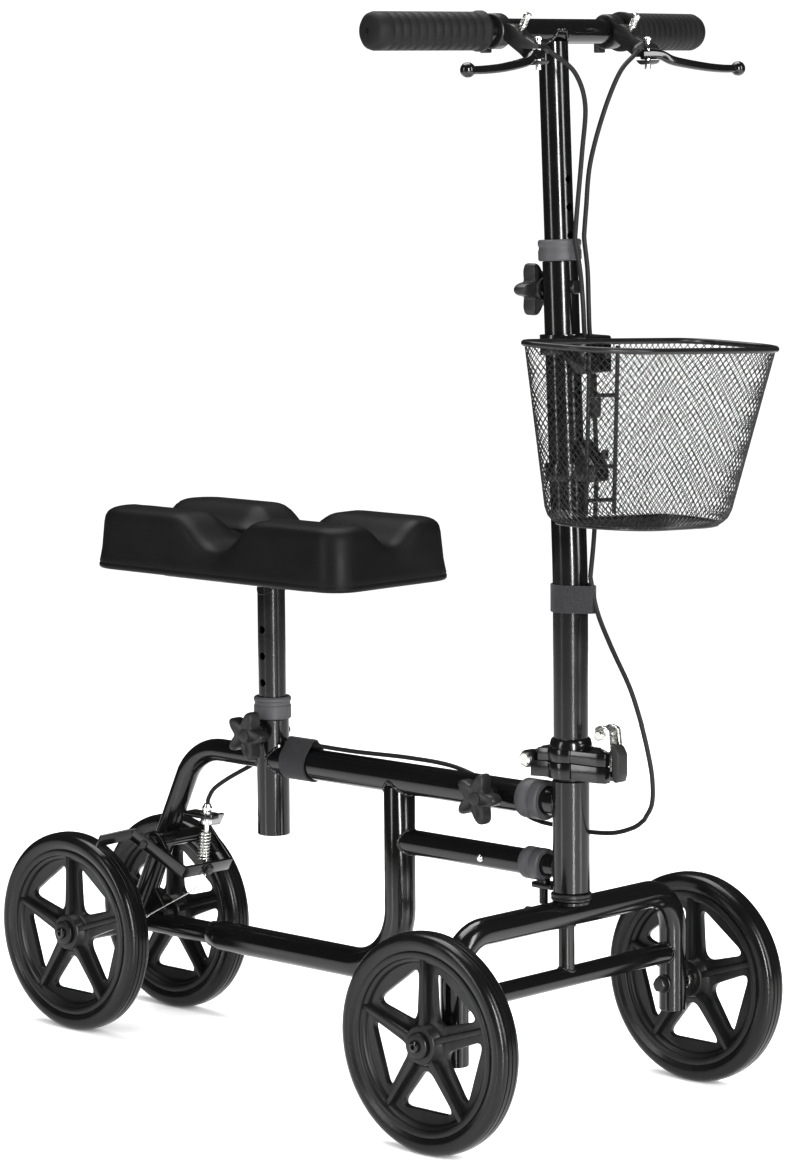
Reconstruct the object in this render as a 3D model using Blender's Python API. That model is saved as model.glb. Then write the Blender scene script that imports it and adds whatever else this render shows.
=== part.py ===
"""Knee scooter: a four-wheeled walking aid with a padded knee rest.

Axes: +Z up, front of travel -Y, rider's right -X.  Lengths are in millimetres
in the driving dimensions and are turned into metres when a mesh is made.
Every Y place below is measured from the front axle; the root empty then puts
the middle of the whole object's length over the origin.
"""

import math

import bmesh
import bpy
from mathutils import Matrix, Vector

MM = 0.001
GAP = 0.3                      # running or weld gap between two pieces

# ---------------------------------------------------------------- driving dimensions
WHEEL_R = 100.0
TYRE_W = 25.6
TYRE_INNER_R = 83.0
WHEEL_SIDES = 40
RIM_SIDES = 30
SPOKES = 5
FRONT_HALF_TRACK = 183.0
REAR_HALF_TRACK = 69.0
WHEELBASE = 598.7

BEAM_Z = 290.5
BEAM_R = 15.0
BEAM_FRONT_Y = 33.0
LOWER_Z = 230.5
LOWER_R = 12.0
LOWER_FRONT_Y = 33.0
LOOP_Z = 103.7
LOOP_R = 15.0
LOOP_RISER_Y = 211.0
LOOP_REAR_Y = 470.0
LOOP_BEND = 62.0
UPRIGHT_R = 11.1
SEAT_Y = 381.5
SEAT_TUBE_R = 15.9
SEAT_TUBE_Z = (216.0, 330.0)
SEAT_COLLAR_Z = (330.3, 352.0)
SEAT_POST_R = 13.4
SEAT_POST_Z = (240.0, 466.0)
PAD_Z = (472.0, 533.0)
PAD_HALF_WIDTH = 82.0
PAD_Y = (209.0, 555.0)
PAD_CORNER = 26.0

HEAD_Y = -6.0
HEAD_R = 17.0
HEAD_BORE = 14.6
HEAD_Z = (209.5, 313.5)
STEERER_R = 14.0
HOOP_R = 12.7
HOOP_Z = 189.0
HOOP_HALF = 150.0
HOOP_LEG_Z = 74.0
HOOP_BEND = 38.0
BRACE_Z = 129.5
BRACE_R = 9.4
STRUT_R = 7.4

HINGE_PIN_Y = 30.0
HINGE_Z = 331.0
HINGE_TOP_Z = 352.0
STEM_R = 15.9
STEM_BORE = 13.9
STEM_BEND_Z = 500.0
STEM_TOP_Z = 783.0
STEM_LEAN = 0.039              # backward travel for each unit of height
POST_R = 13.4
POST_Z = (600.0, 975.5)
BAR_Z = 987.0
BAR_R = 11.1
BAR_BEND_X = 87.0
BAR_END = (213.0, 18.0)        # X, and sweep back from the bar's own Y
GRIP_R = 16.8
GRIP_LENGTH = 122.0
LEVER_CLAMP_X = 76.0
LEVER_PIVOT = (73.0, -36.0, 966.0)
LEVER_BALL = (181.0, -52.0, 953.0)

BASKET_RIM_Z = 712.7
BASKET_FLOOR_Z = 554.3
BASKET_RIM = (127.5, -44.0, -165.5, 55.8)      # half width, rear Y, front Y, front corner
BASKET_FLOOR = (93.3, -50.0, -155.7, 69.0)
BASKET_WALL = 2.0
BASKET_HANG = (0.0, -44.0, 650.0)              # the basket hangs a little askew about this point
BASKET_DROOP = 1.8                             # degrees, front end down
BASKET_ROLL = 2.6                              # degrees, left side down

SEAT_KNOB = (-21.0, SEAT_Y, 317.0)
BEAM_KNOB = (-20.5, 78.0, BEAM_Z)
KNOB_LENGTH = 20.0
KNOB_TIP = 24.5
KNOB_VALLEY = 13.5
LATCH_Y = -48.0
LATCH_Z = 359.0
BRAKE_PIVOT = (0.0, 517.0, 196.0)
BRAKE_CROSS = (480.0, 170.0)
BRAKE_HALF = 30.0
BRAKE_SHOULDER = (46.0, 536.0, 204.0)
BRAKE_TIP_X = 84.0

REAR_END = WHEELBASE + WHEEL_R
FRONT_END = BASKET_RIM[2] - 4.5
ROOT_Y = -(REAR_END + FRONT_END) / 2

BLACK_PAINT = ((0.012, 0.012, 0.013), 0.22, 0.0)
RUBBER = ((0.02, 0.02, 0.02), 0.7, 0.0)
WHEEL_PLASTIC = ((0.025, 0.025, 0.027), 0.45, 0.0)
KNOB_PLASTIC = ((0.028, 0.028, 0.03), 0.4, 0.0)
COLLAR_PLASTIC = ((0.045, 0.045, 0.047), 0.55, 0.0)
FOAM = ((0.018, 0.018, 0.019), 0.75, 0.0)
ZINC = ((0.62, 0.62, 0.6), 0.3, 1.0)
BLACK_STEEL = ((0.03, 0.03, 0.032), 0.35, 0.6)


def stem_y(z):
    """Y of the stem's axis, which is upright below its bend and leans back above."""
    return HEAD_Y + max(0.0, z - STEM_BEND_Z) * STEM_LEAN


BAR_Y = stem_y(BAR_Z)
STEM_KNOB = (0.0, stem_y(757.0) + 17.0, 757.0)
STEM_DIRECTION = Vector((0, STEM_LEAN, 1)).normalized()

# ---------------------------------------------------------------- scene and placing


def clear_scene():
    for old in list(bpy.data.objects):
        bpy.data.objects.remove(old, do_unlink=True)
    for old in list(bpy.data.collections):
        bpy.data.collections.remove(old)


def new_collection(name):
    made = bpy.data.collections.new(name)
    bpy.context.scene.collection.children.link(made)
    return made


clear_scene()
PARTS = new_collection("knee_scooter")
CUTTERS = new_collection("cutters")
PIVOTS = {}


def pivot(name, place, parent=None):
    """An empty on a joint's axis, which everything that moves with it hangs from."""
    empty = bpy.data.objects.new(name, None)
    PARTS.objects.link(empty)
    start = PIVOTS[parent][1] if parent else Vector((0, 0, 0))
    empty.location = (Vector(place) - start) * MM
    if parent:
        empty.parent = PIVOTS[parent][0]
    PIVOTS[name] = (empty, Vector(place))


def material(name, look):
    colour, roughness, metallic = look
    made = bpy.data.materials.new(name)
    made.use_nodes = True
    shader = made.node_tree.nodes["Principled BSDF"]
    shader.inputs["Base Color"].default_value = (*colour, 1)
    shader.inputs["Roughness"].default_value = roughness
    shader.inputs["Metallic"].default_value = metallic
    return made


def mesh_object(name, verts, faces, collection, place):
    mesh = bpy.data.meshes.new(name)
    mesh.from_pydata([(Vector(v) - place) * MM for v in verts], [], faces)
    mesh.update()
    shaper = bmesh.new()
    shaper.from_mesh(mesh)
    bmesh.ops.recalc_face_normals(shaper, faces=shaper.faces)
    shaper.to_mesh(mesh)
    shaper.free()
    made = bpy.data.objects.new(name, mesh)
    collection.objects.link(made)
    return made


def solid(name, shape, look, parent):
    """A sub-part: its mesh is measured from its parent pivot."""
    empty, place = PIVOTS[parent]
    made = mesh_object(name, *shape, PARTS, place)
    made.parent = empty
    made.data.materials.append(material(name, look))
    return made


def cut(target, name, shape, operation="DIFFERENCE"):
    """Take a cutter's shape from a sub-part, or join it on."""
    empty = target.parent
    place = PIVOTS[empty.name][1]
    cutter = mesh_object(name, *shape, CUTTERS, place)
    cutter.parent = empty
    cutter.hide_render = True
    cutter.display_type = "WIRE"
    step = target.modifiers.new(name, "BOOLEAN")
    step.operation = operation
    step.solver = "EXACT"
    step.object = cutter


# ---------------------------------------------------------------- shapes


def arc(centre, radius, start, end, steps):
    """Points of an arc in a plane, angles in degrees, both ends kept."""
    points = []
    for i in range(steps + 1):
        a = math.radians(start + (end - start) * i / steps)
        points.append((centre[0] + radius * math.cos(a), centre[1] + radius * math.sin(a)))
    return points


def across(direction):
    """Two unit vectors square to a direction."""
    helper = Vector((1, 0, 0)) if abs(direction.x) < 0.9 else Vector((0, 1, 0))
    side = direction.cross(helper).normalized()
    return side, direction.cross(side).normalized()


def sweep_rings(path, radius, sides):
    path = [Vector(p) for p in path]
    first = (path[1] - path[0]).normalized()
    side = across(first)[0]
    rings = []
    for i, point in enumerate(path):
        before = (point - path[i - 1]).normalized() if i else first
        after = (path[i + 1] - point).normalized() if i + 1 < len(path) else before
        plane = (before + after).normalized()
        side = (side - before * side.dot(before)).normalized()
        other = before.cross(side)
        ring = []
        for k in range(sides):
            a = math.tau * (k + 0.5) / sides
            spoke = side * (radius * math.cos(a)) + other * (radius * math.sin(a))
            spoke -= before * (spoke.dot(plane) / before.dot(plane))
            ring.append(point + spoke)
        rings.append(ring)
    return rings


def join_rings(rings, closed_ends=True, loop=False):
    verts = [v for ring in rings for v in ring]
    count = len(rings[0])
    faces = []
    pairs = len(rings) if loop else len(rings) - 1
    for i in range(pairs):
        a = i * count
        b = ((i + 1) % len(rings)) * count
        for k in range(count):
            n = (k + 1) % count
            faces.append((a + k, a + n, b + n, b + k))
    if closed_ends:
        faces.append(tuple(range(count)))
        faces.append(tuple(range(len(verts) - count, len(verts))))
    return verts, faces


def rod(path, radius, sides=16):
    return join_rings(sweep_rings(path, radius, sides))


def clearance(path, radius, sides=16):
    """A cutter whose flats stay a gap away from a round tube of this radius."""
    return rod(path, (radius + GAP) / math.cos(math.pi / sides), sides)


def tube(path, radius, bore, sides=16):
    outer = sweep_rings(path, radius, sides)
    inner = sweep_rings(path, bore, sides)
    return join_rings(outer + inner[::-1], closed_ends=False, loop=True)


def lathe(profile, axis, centre, sides=20):
    """Turn a closed outline of (radius, place along the axis); radius 0 is a tip."""
    axis = Vector(axis).normalized()
    side, other = across(axis)
    verts = []
    rows = []
    for radius, along in profile:
        base = Vector(centre) + axis * along
        if radius == 0:
            rows.append([len(verts)] * sides)
            verts.append(base)
            continue
        rows.append(list(range(len(verts), len(verts) + sides)))
        for k in range(sides):
            a = math.tau * (k + 0.5) / sides
            verts.append(base + side * (radius * math.cos(a)) + other * (radius * math.sin(a)))
    faces = []
    for i, row in enumerate(rows):
        following = rows[(i + 1) % len(rows)]
        if row[0] == row[1] and following[0] == following[1]:
            continue
        for k in range(sides):
            n = (k + 1) % sides
            face = []
            for index in (row[k], row[n], following[n], following[k]):
                if index not in face:
                    face.append(index)
            faces.append(tuple(face))
    return verts, faces


def turned(steps, axis, centre, sides=16):
    """A turned piece with a solid core: (radius, place along the axis) from end to end."""
    return lathe([(0, steps[0][1])] + steps + [(0, steps[-1][1])], axis, centre, sides)


def ring(radius, bore, start, end, axis, centre, sides=20):
    profile = [(radius, start), (radius, end), (bore, end), (bore, start)]
    return lathe(profile, axis, centre, sides)


def prism(outline, start, end, plane="YZ"):
    """Pull an outline along the axis that its plane is square to."""
    verts = []
    for depth in (start, end):
        for u, v in outline:
            place = {"YZ": (depth, u, v), "XZ": (u, depth, v), "XY": (u, v, depth)}[plane]
            verts.append(Vector(place))
    n = len(outline)
    faces = [tuple(range(n)), tuple(range(n, 2 * n))]
    for k in range(n):
        m = (k + 1) % n
        faces.append((k, m, n + m, n + k))
    return verts, faces


def block(low, high):
    outline = [(low[1], low[2]), (high[1], low[2]), (high[1], high[2]), (low[1], high[2])]
    return prism(outline, low[0], high[0])


def merged(shapes):
    verts = []
    faces = []
    for some_verts, some_faces in shapes:
        start = len(verts)
        verts += some_verts
        faces += [tuple(start + i for i in face) for face in some_faces]
    return verts, faces


def moved(shape, matrix):
    return [matrix @ Vector(v) for v in shape[0]], shape[1]


def star_outline(centre, lobes, tip, valley, steps=6):
    points = []
    for i in range(lobes * steps):
        a = math.tau * i / (lobes * steps)
        radius = (tip + valley) / 2 + (tip - valley) / 2 * math.cos(lobes * a)
        points.append((centre[0] + radius * math.cos(a), centre[1] + radius * math.sin(a)))
    return points


def ribbon(path, width_axis, half_width, thickness):
    """A flat strip that follows a path, thick to one side of it."""
    path = [Vector(p) for p in path]
    width_axis = Vector(width_axis)
    rings = []
    for i, point in enumerate(path):
        before = (point - path[i - 1]).normalized() if i else (path[1] - point).normalized()
        after = (path[i + 1] - point).normalized() if i + 1 < len(path) else before
        normal = (before + after).cross(width_axis).normalized()
        stretch = 1 / max(0.5, normal.dot(before.cross(width_axis).normalized()))
        inner = point + normal * thickness * stretch
        rings.append([point - width_axis * half_width, point + width_axis * half_width,
                      inner + width_axis * half_width, inner - width_axis * half_width])
    return join_rings(rings)


# ---------------------------------------------------------------- sub-parts


def make_pivots():
    pivot("knee_scooter_root", (0, 0, 0))
    PIVOTS["knee_scooter_root"][0].location = (0, ROOT_Y * MM, 0)
    pivot("frame_body", (0, 0, 0), "knee_scooter_root")
    pivot("front_frame_body", (0, HEAD_Y, BEAM_Z), "frame_body")
    pivot("steering_body", (0, HEAD_Y, HOOP_Z), "front_frame_body")
    pivot("stem_body", (0, HINGE_PIN_Y, HINGE_Z), "steering_body")
    pivot("latch_body", (0, LATCH_Y, LATCH_Z), "stem_body")
    pivot("handlebar_body", (0, stem_y(STEM_TOP_Z), STEM_TOP_Z), "stem_body")
    for side, sign in (("right", -1), ("left", 1)):
        place = (sign * LEVER_PIVOT[0], LEVER_PIVOT[1], LEVER_PIVOT[2])
        pivot(f"brake_lever_{side}_body", place, "handlebar_body")
        pivot(f"front_wheel_{side}_body", (sign * FRONT_HALF_TRACK, 0, WHEEL_R), "steering_body")
        pivot(f"rear_wheel_{side}_body", (sign * REAR_HALF_TRACK, WHEELBASE, WHEEL_R), "frame_body")
    pivot("seat_body", (0, SEAT_Y, SEAT_COLLAR_Z[1]), "frame_body")
    pivot("seat_knob_body", SEAT_KNOB, "frame_body")
    pivot("beam_knob_body", BEAM_KNOB, "frame_body")
    pivot("stem_knob_body", STEM_KNOB, "stem_body")
    pivot("brake_body", BRAKE_PIVOT, "frame_body")


def make_main_frame():
    beam = solid("main_beam_tube", tube([(0, BEAM_FRONT_Y, BEAM_Z), (0, SEAT_Y, BEAM_Z)],
                                        BEAM_R, 13.3), BLACK_PAINT, "frame_body")
    seat_axis = [(0, SEAT_Y, 150), (0, SEAT_Y, 400)]
    cut(beam, "cut_beam_at_seat_tube", clearance(seat_axis, SEAT_TUBE_R))
    cut(beam, "cut_beam_past_seat_tube", block((-30, SEAT_Y, 260), (30, SEAT_Y + 40, 320)))
    cut(beam, "cut_beam_knob_hole", rod([(-30, BEAM_KNOB[1], BEAM_Z), (0, BEAM_KNOB[1], BEAM_Z)],
                                        4.4, 16))

    seat_tube = solid("seat_tube", tube([(0, SEAT_Y, SEAT_TUBE_Z[0]), (0, SEAT_Y, SEAT_TUBE_Z[1])],
                                        SEAT_TUBE_R, SEAT_POST_R + 0.2, 20),
                      BLACK_PAINT, "frame_body")
    cut(seat_tube, "cut_seat_knob_hole", rod([(-30, SEAT_Y, SEAT_KNOB[2]), (0, SEAT_Y, SEAT_KNOB[2])],
                                             4.4, 16))

    make_rear_upright()
    make_loop_tube()
    lower = solid("lower_socket_tube", tube([(0, LOWER_FRONT_Y, LOWER_Z), (0, LOOP_RISER_Y, LOWER_Z)],
                                            LOWER_R, 10.2), BLACK_PAINT, "frame_body")
    riser_axis = [(0, LOOP_RISER_Y, 150), (0, LOOP_RISER_Y, 320)]
    cut(lower, "cut_lower_at_riser", clearance(riser_axis, LOOP_R))
    cut(lower, "cut_lower_past_riser", block((-20, LOOP_RISER_Y, 210), (20, LOOP_RISER_Y + 30, 250)))
    hole = [(-20, 96, LOWER_Z - 1), (20, 96, LOWER_Z - 1)]
    cut(lower, "cut_lower_cross_hole", rod(hole, 4.0, 16))
    solid("rear_axle_tube", tube([(-55.4, WHEELBASE, WHEEL_R), (55.4, WHEELBASE, WHEEL_R)],
                                 12.7, 4.4), BLACK_PAINT, "frame_body")
    rear_rod = [(9.0, -93.0), (9.0, -88.0), (11.5, -88.0), (11.5, -82.4), (4.0, -82.4),
                (4.0, 82.4), (11.5, 82.4), (11.5, 88.0), (9.0, 88.0), (9.0, 93.0)]
    solid("rear_axle_rod", turned(rear_rod, (1, 0, 0), (0, WHEELBASE, WHEEL_R)),
          BLACK_STEEL, "frame_body")


def make_rear_upright():
    """Round from the beam's line at the seat tube, down and back to the axle tube."""
    foot = Vector((0, WHEELBASE - 26.0, WHEEL_R + 22.0))
    lean = math.degrees(math.atan2(foot.y - 503.0, 232.0 - foot.z))
    bend = 58.0
    centre_y = 503.0 - bend * math.cos(math.radians(lean))
    corner = arc((centre_y, BEAM_Z - bend), bend, 90, lean, 5)
    path = [(0, SEAT_Y, BEAM_Z)] + [(0, y, z) for y, z in corner] + [foot]
    upright = solid("rear_upright_tube", tube(path, UPRIGHT_R, 9.0, 12), BLACK_PAINT, "frame_body")
    cut(upright, "cut_upright_at_seat_tube",
        clearance([(0, SEAT_Y, 150), (0, SEAT_Y, 400)], SEAT_TUBE_R))
    cut(upright, "cut_upright_past_seat_tube", block((-30, SEAT_Y - 40, 260), (30, SEAT_Y, 320)))
    pin = [(-30, *BRAKE_PIVOT[1:]), (30, *BRAKE_PIVOT[1:])]
    cut(upright, "cut_upright_brake_pin", rod(pin, 4.1, 16))
    solid("brake_pivot_bolt", turned([(6.5, -38.5), (6.5, -34.3), (4.0, -34.3), (4.0, 34.3),
                                      (6.5, 34.3), (6.5, 38.5)], (1, 0, 0), BRAKE_PIVOT, 16),
          BLACK_STEEL, "frame_body")


def make_loop_tube():
    """Riser under the beam, bend, lower tube and its narrower tail to the rear axle."""
    bend = arc((LOOP_RISER_Y + LOOP_BEND, LOOP_Z + LOOP_BEND), LOOP_BEND, 180, 270, 6)
    path = [(0, LOOP_RISER_Y, BEAM_Z)] + [(0, y, z) for y, z in bend]
    path += [(0, LOOP_REAR_Y, LOOP_Z)]
    loop = solid("frame_loop_tube", rod(path, LOOP_R), BLACK_PAINT, "frame_body")
    tail = rod([(0, LOOP_REAR_Y - 20, LOOP_Z + 0.8), (0, WHEELBASE, LOOP_Z + 0.8)], 10.8)
    cut(loop, "join_loop_tail", tail, "UNION")
    cut(loop, "cut_loop_at_beam", clearance([(0, 100, BEAM_Z), (0, 300, BEAM_Z)], BEAM_R))
    cut(loop, "cut_loop_above_beam", block((-30, 170, BEAM_Z), (30, 250, BEAM_Z + 40)))
    cut(loop, "cut_loop_at_axle", rod([(-40, WHEELBASE, WHEEL_R), (40, WHEELBASE, WHEEL_R)],
                                      12.7 + GAP, 16))
    cut(loop, "cut_loop_past_axle", block((-30, WHEELBASE, 70), (30, WHEELBASE + 30, 130)))


def make_collars():
    """Plastic end collars on the telescoping tubes, and the seat's clamp collar."""
    beam = [(18.4, -27.0), (18.4, -3.0), (17.4, 0.0), (BEAM_R + GAP, 0.0), (BEAM_R + GAP, -16.3),
            (13.3, -16.3), (13.3, -27.0)]
    solid("beam_front_collar", lathe(beam, (0, 1, 0), (0, BEAM_FRONT_Y + 16.0, BEAM_Z)),
          COLLAR_PLASTIC, "frame_body")
    lower = [(15.0, -24.0), (15.0, -2.0), (14.0, 0.0), (LOWER_R + GAP, 0.0),
             (LOWER_R + GAP, -15.3), (10.4, -15.3), (10.4, -24.0)]
    solid("lower_front_collar", lathe(lower, (0, 1, 0), (0, LOWER_FRONT_Y + 15.0, LOWER_Z)),
          COLLAR_PLASTIC, "frame_body")
    low, high = SEAT_COLLAR_Z
    seat = [(18.2, low), (18.2, high - 2), (17.2, high), (SEAT_POST_R + 0.25, high),
            (SEAT_POST_R + 0.25, low)]
    solid("seat_clamp_collar", lathe(seat, (0, 0, 1), (0, SEAT_Y, 0), 20),
          COLLAR_PLASTIC, "frame_body")
    stem = [(19.5, 0.0), (19.5, 17.0), (18.5, 19.0), (POST_R + 0.25, 19.0), (POST_R + 0.25, 0.0)]
    top = (0, stem_y(STEM_TOP_Z) + 0.02, STEM_TOP_Z + GAP)
    solid("stem_top_collar", lathe(stem, STEM_DIRECTION, top, 20), COLLAR_PLASTIC, "stem_body")


def make_knob(name, parent, axis, stud):
    """Five-lobed clamp knob with its threaded stud; axis points from the frame outward."""
    axis = Vector(axis)
    place = PIVOTS[parent][1]
    outline = star_outline((0, 0), 5, KNOB_TIP, KNOB_VALLEY)
    grip = prism(outline, KNOB_LENGTH - 14.0, KNOB_LENGTH, "XY")
    neck = turned([(3.8, -stud), (3.8, 1.0), (10.5, 1.0), (9.0, 9.0)], (0, 0, 1), (0, 0, 0), 20)
    matrix = Matrix.Translation(place) @ axis.to_track_quat("Z", "Y").to_matrix().to_4x4()
    knob = solid(name, moved(grip, matrix), KNOB_PLASTIC, parent)
    cut(knob, f"join_{name}_stud", moved(neck, matrix), "UNION")


def make_wheel(name, parent, centre, outward):
    """Plastic wheel with five spokes, and its solid rubber tyre."""
    centre = Vector(centre)
    axis = Vector((outward, 0, 0))
    facet = 1 / math.cos(math.pi / WHEEL_SIDES)
    half = TYRE_W / 2
    tread = [(WHEEL_R - 5.0, -half), (WHEEL_R, -half + 4.5), (WHEEL_R, half - 4.5),
             (WHEEL_R - 5.0, half), (TYRE_INNER_R, half - 1.5), (TYRE_INNER_R, 1.5 - half)]
    tread = [(radius * facet, along) for radius, along in tread]
    solid(f"{name}_tyre", lathe(tread, axis, centre, WHEEL_SIDES), RUBBER, parent)
    outer = TYRE_INNER_R - GAP
    rim = [(outer, 1.6 - half), (outer, half - 1.6), (72.0, 3.5), (21.0, 4.5), (17.0, 13.0),
           (4.2, 13.0), (4.2, -13.0), (17.0, -13.0), (21.0, -4.5), (72.0, -3.5)]
    wheel = solid(f"{name}_rim", lathe(rim, axis, centre, RIM_SIDES), WHEEL_PLASTIC, parent)
    cut(wheel, f"cut_{name}_windows", merged([wheel_window(centre, i) for i in range(SPOKES)]))


def wheel_window(centre, index):
    """A rounded triangular gap between two spokes; one spoke points straight up."""
    middle = 90 + (index + 0.5) * 360 / SPOKES
    spread = 180 / SPOKES
    half = [(27.0, 6.0), (61.0, spread - 8.0), (69.0, spread - 16.0)]
    places = []
    for radius, turn in half + [(radius, -turn) for radius, turn in half[::-1]]:
        a = math.radians(middle + turn)
        places.append((centre.y + radius * math.cos(a), centre.z + radius * math.sin(a)))
    return prism(places, centre.x - 20, centre.x + 20)


def make_front_frame():
    head = solid("head_tube", tube([(0, HEAD_Y, HEAD_Z[0]), (0, HEAD_Y, HEAD_Z[1])], HEAD_R, HEAD_BORE, 20),
                 BLACK_PAINT, "front_frame_body")
    head_axis = [(0, HEAD_Y, 150), (0, HEAD_Y, 350)]
    for name, z, radius, bore, rear in (("upper_stub_tube", BEAM_Z, 13.0, 10.8, 150.0),
                                        ("lower_stub_tube", LOWER_Z, 10.0, 8.0, 150.0)):
        stub = solid(name, tube([(0, HEAD_Y, z), (0, rear, z)], radius, bore),
                     BLACK_PAINT, "front_frame_body")
        cut(stub, f"cut_{name}_at_head", clearance(head_axis, HEAD_R))
        cut(stub, f"cut_{name}_past_head", block((-20, HEAD_Y - 30, z - 20), (20, HEAD_Y, z + 20)))
    solid("head_bearing", ring(18.6, STEERER_R + 0.6, 202.3, 209.2, (0, 0, 1), (0, HEAD_Y, 0), 20),
          BLACK_STEEL, "front_frame_body")
    tab = [(-9, HEAD_Y + 14.6), (9, HEAD_Y + 14.6), (9, 34), (6, 38), (-6, 38), (-9, 34)]
    cut(head, "join_stop_tab", prism(tab, 209.6, 214.4, "XY"), "UNION")
    cut(head, "join_stop_pin", rod([(0, 28, 194), (0, 28, 212)], 4.0, 12), "UNION")


def make_steering():
    solid("steerer_tube", tube([(0, HEAD_Y, 202.0), (0, HEAD_Y, 315.7)], STEERER_R, 11.5, 20),
          BLACK_STEEL, "steering_body")
    bend_x = HOOP_HALF - HOOP_BEND
    bend_z = HOOP_Z - HOOP_BEND
    left = arc((bend_x, bend_z), HOOP_BEND, 0, 90, 5)
    half = [(HOOP_HALF, HOOP_LEG_Z)] + left
    path = [(x, 0, z) for x, z in half] + [(-x, 0, z) for x, z in half[::-1]]
    hoop = solid("front_hoop_tube", tube(path, HOOP_R, 10.7, 12), BLACK_PAINT, "steering_body")
    bolt_hole = rod([(-180, 0, WHEEL_R), (180, 0, WHEEL_R)], 4.2, 16)
    cut(hoop, "cut_hoop_bolt_holes", bolt_hole)
    reach = HOOP_HALF
    brace = solid("hoop_brace", rod([(-reach, 0, BRACE_Z), (reach, 0, BRACE_Z)], BRACE_R),
                  BLACK_PAINT, "steering_body")
    cut(brace, "join_brace_strut", rod([(0, 0, BRACE_Z), (0, 0, HOOP_Z)], STRUT_R, 16), "UNION")
    cut(brace, "cut_brace_at_hoop", clearance([(-20, 0, HOOP_Z), (20, 0, HOOP_Z)], HOOP_R))
    cut(brace, "cut_brace_above", block((-12, -12, HOOP_Z), (12, 12, HOOP_Z + 20)))
    for sign, side in ((-1, "right"), (1, "left")):
        leg = [(sign * HOOP_HALF, 0, 90), (sign * HOOP_HALF, 0, 150)]
        cut(brace, f"cut_brace_at_{side}_leg", clearance(leg, HOOP_R))
        beyond = sorted((sign * HOOP_HALF, sign * (HOOP_HALF + 20)))
        cut(brace, f"cut_brace_past_{side}_leg",
            block((beyond[0], -15, 115), (beyond[1], 15, 145)))
    for sign, side in ((-1, "right"), (1, "left")):
        steps = [(7.5, -55.5), (7.5, -49.5), (4.0, -49.5), (4.0, -19.9), (9.0, -19.9),
                 (9.0, -13.3), (4.0, -13.3), (4.0, 13.3), (11.5, 13.3), (11.5, 17.5), (8.5, 17.5),
                 (8.5, 21.5)]
        place = (sign * FRONT_HALF_TRACK, 0, WHEEL_R)
        solid(f"front_axle_bolt_{side}", turned(steps, (sign, 0, 0), place),
              BLACK_STEEL, "steering_body")
    add_stop_ears(hoop)


def add_stop_ears(hoop):
    """Ears behind the hoop that meet the stop pin at full lock."""
    for sign, side in ((-1, "right"), (1, "left")):
        ear = [(sign * x, y) for x, y in ((26, 11.2), (34, 11.2), (33, 22), (27, 25), (25, 18))]
        cut(hoop, f"join_stop_ear_{side}", prism(ear, 188, 196.5, "XY"), "UNION")


def make_hinge():
    """Two halves of the folding joint, its rear pin and the clamp at the front."""
    knuckle = 8.0
    pin_y, pin_z = HINGE_PIN_Y, HINGE_Z
    low_outline = [(-40, 317), (14, 317), (22, 320)]
    low_outline += arc((pin_y, pin_z), knuckle, -70, 182, 12)
    low_outline += [(-57, pin_z - GAP), (-57, 323)]
    lower = solid("hinge_lower_half", prism(low_outline, -20, 20), BLACK_PAINT, "steering_body")
    cut(lower, "cut_hinge_middle_knuckle", block((-11.3, 15.5, 300), (11.3, 50, 360)))
    cut(lower, "cut_hinge_clamp_slot", block((-4.2, -80, 300), (4.2, -43, 350)))
    pin = [(6.5, -24.0), (6.5, -20.3), (3.9, -20.3), (3.9, 20.3), (6.5, 20.3), (6.5, 24.0)]
    hole = rod([(-40, pin_y, pin_z), (40, pin_y, pin_z)], 4.1, 20)
    cut(lower, "cut_hinge_lower_bore", hole)
    solid("hinge_pin", turned(pin, (1, 0, 0), (0, pin_y, pin_z), 20), ZINC, "steering_body")

    up_outline = [(-57, pin_z + GAP), (16.5, pin_z + GAP), (22, pin_z - 0.5)]
    up_outline += arc((pin_y, pin_z), knuckle - 0.4, -150, 80, 8)
    up_outline += [(20, 347), (14, HINGE_TOP_Z), (-34, HINGE_TOP_Z), (-40, 343.2), (-57, 343.2)]
    upper = solid("hinge_upper_half", prism(up_outline, -19.5, 19.5), BLACK_PAINT, "stem_body")
    for sign, side in ((-1, "right"), (1, "left")):
        ends = sorted((sign * 10.9, sign * 25))
        cut(upper, f"cut_hinge_{side}_knuckle",
            block((ends[0], 17.5, 300), (ends[1], 50, 341.5)))
    cut(upper, "cut_hinge_upper_bore", hole)
    cut(upper, "cut_hinge_upper_slot", block((-4.2, -80, 300), (4.2, -43, 360)))
    eye = solid("hinge_eyebolt", rod([(0, -51.5, 326), (0, -51.5, 348.4)], 3.4, 16), ZINC, "stem_body")
    nut = turned([(6.6, 343.6), (6.6, 347.6)], (0, 0, 1), (0, -51.5, 0), 6)
    cut(eye, "join_eyebolt_nut", nut, "UNION")
    make_latch()


def make_latch():
    """Cam lever over the clamp: a fork on a cross pin with a short handle in front."""
    fork_outline = [(-60, 348.8), (-45, 349.2), (-41, 354), (-42, 366), (-48, 368.5),
                    (-55, 366), (-58, 358)]
    latch = solid("hinge_latch_lever", prism(fork_outline, -9, 9), ZINC, "latch_body")
    handle = [(-56, 365), (-51, 360), (-60.5, 350), (-60.5, 322), (-62.5, 317), (-66.5, 317),
              (-68.5, 322), (-68.5, 350), (-64, 360)]
    shape = prism(handle, -7, 7)
    cut(latch, "join_latch_handle", shape, "UNION")


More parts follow.
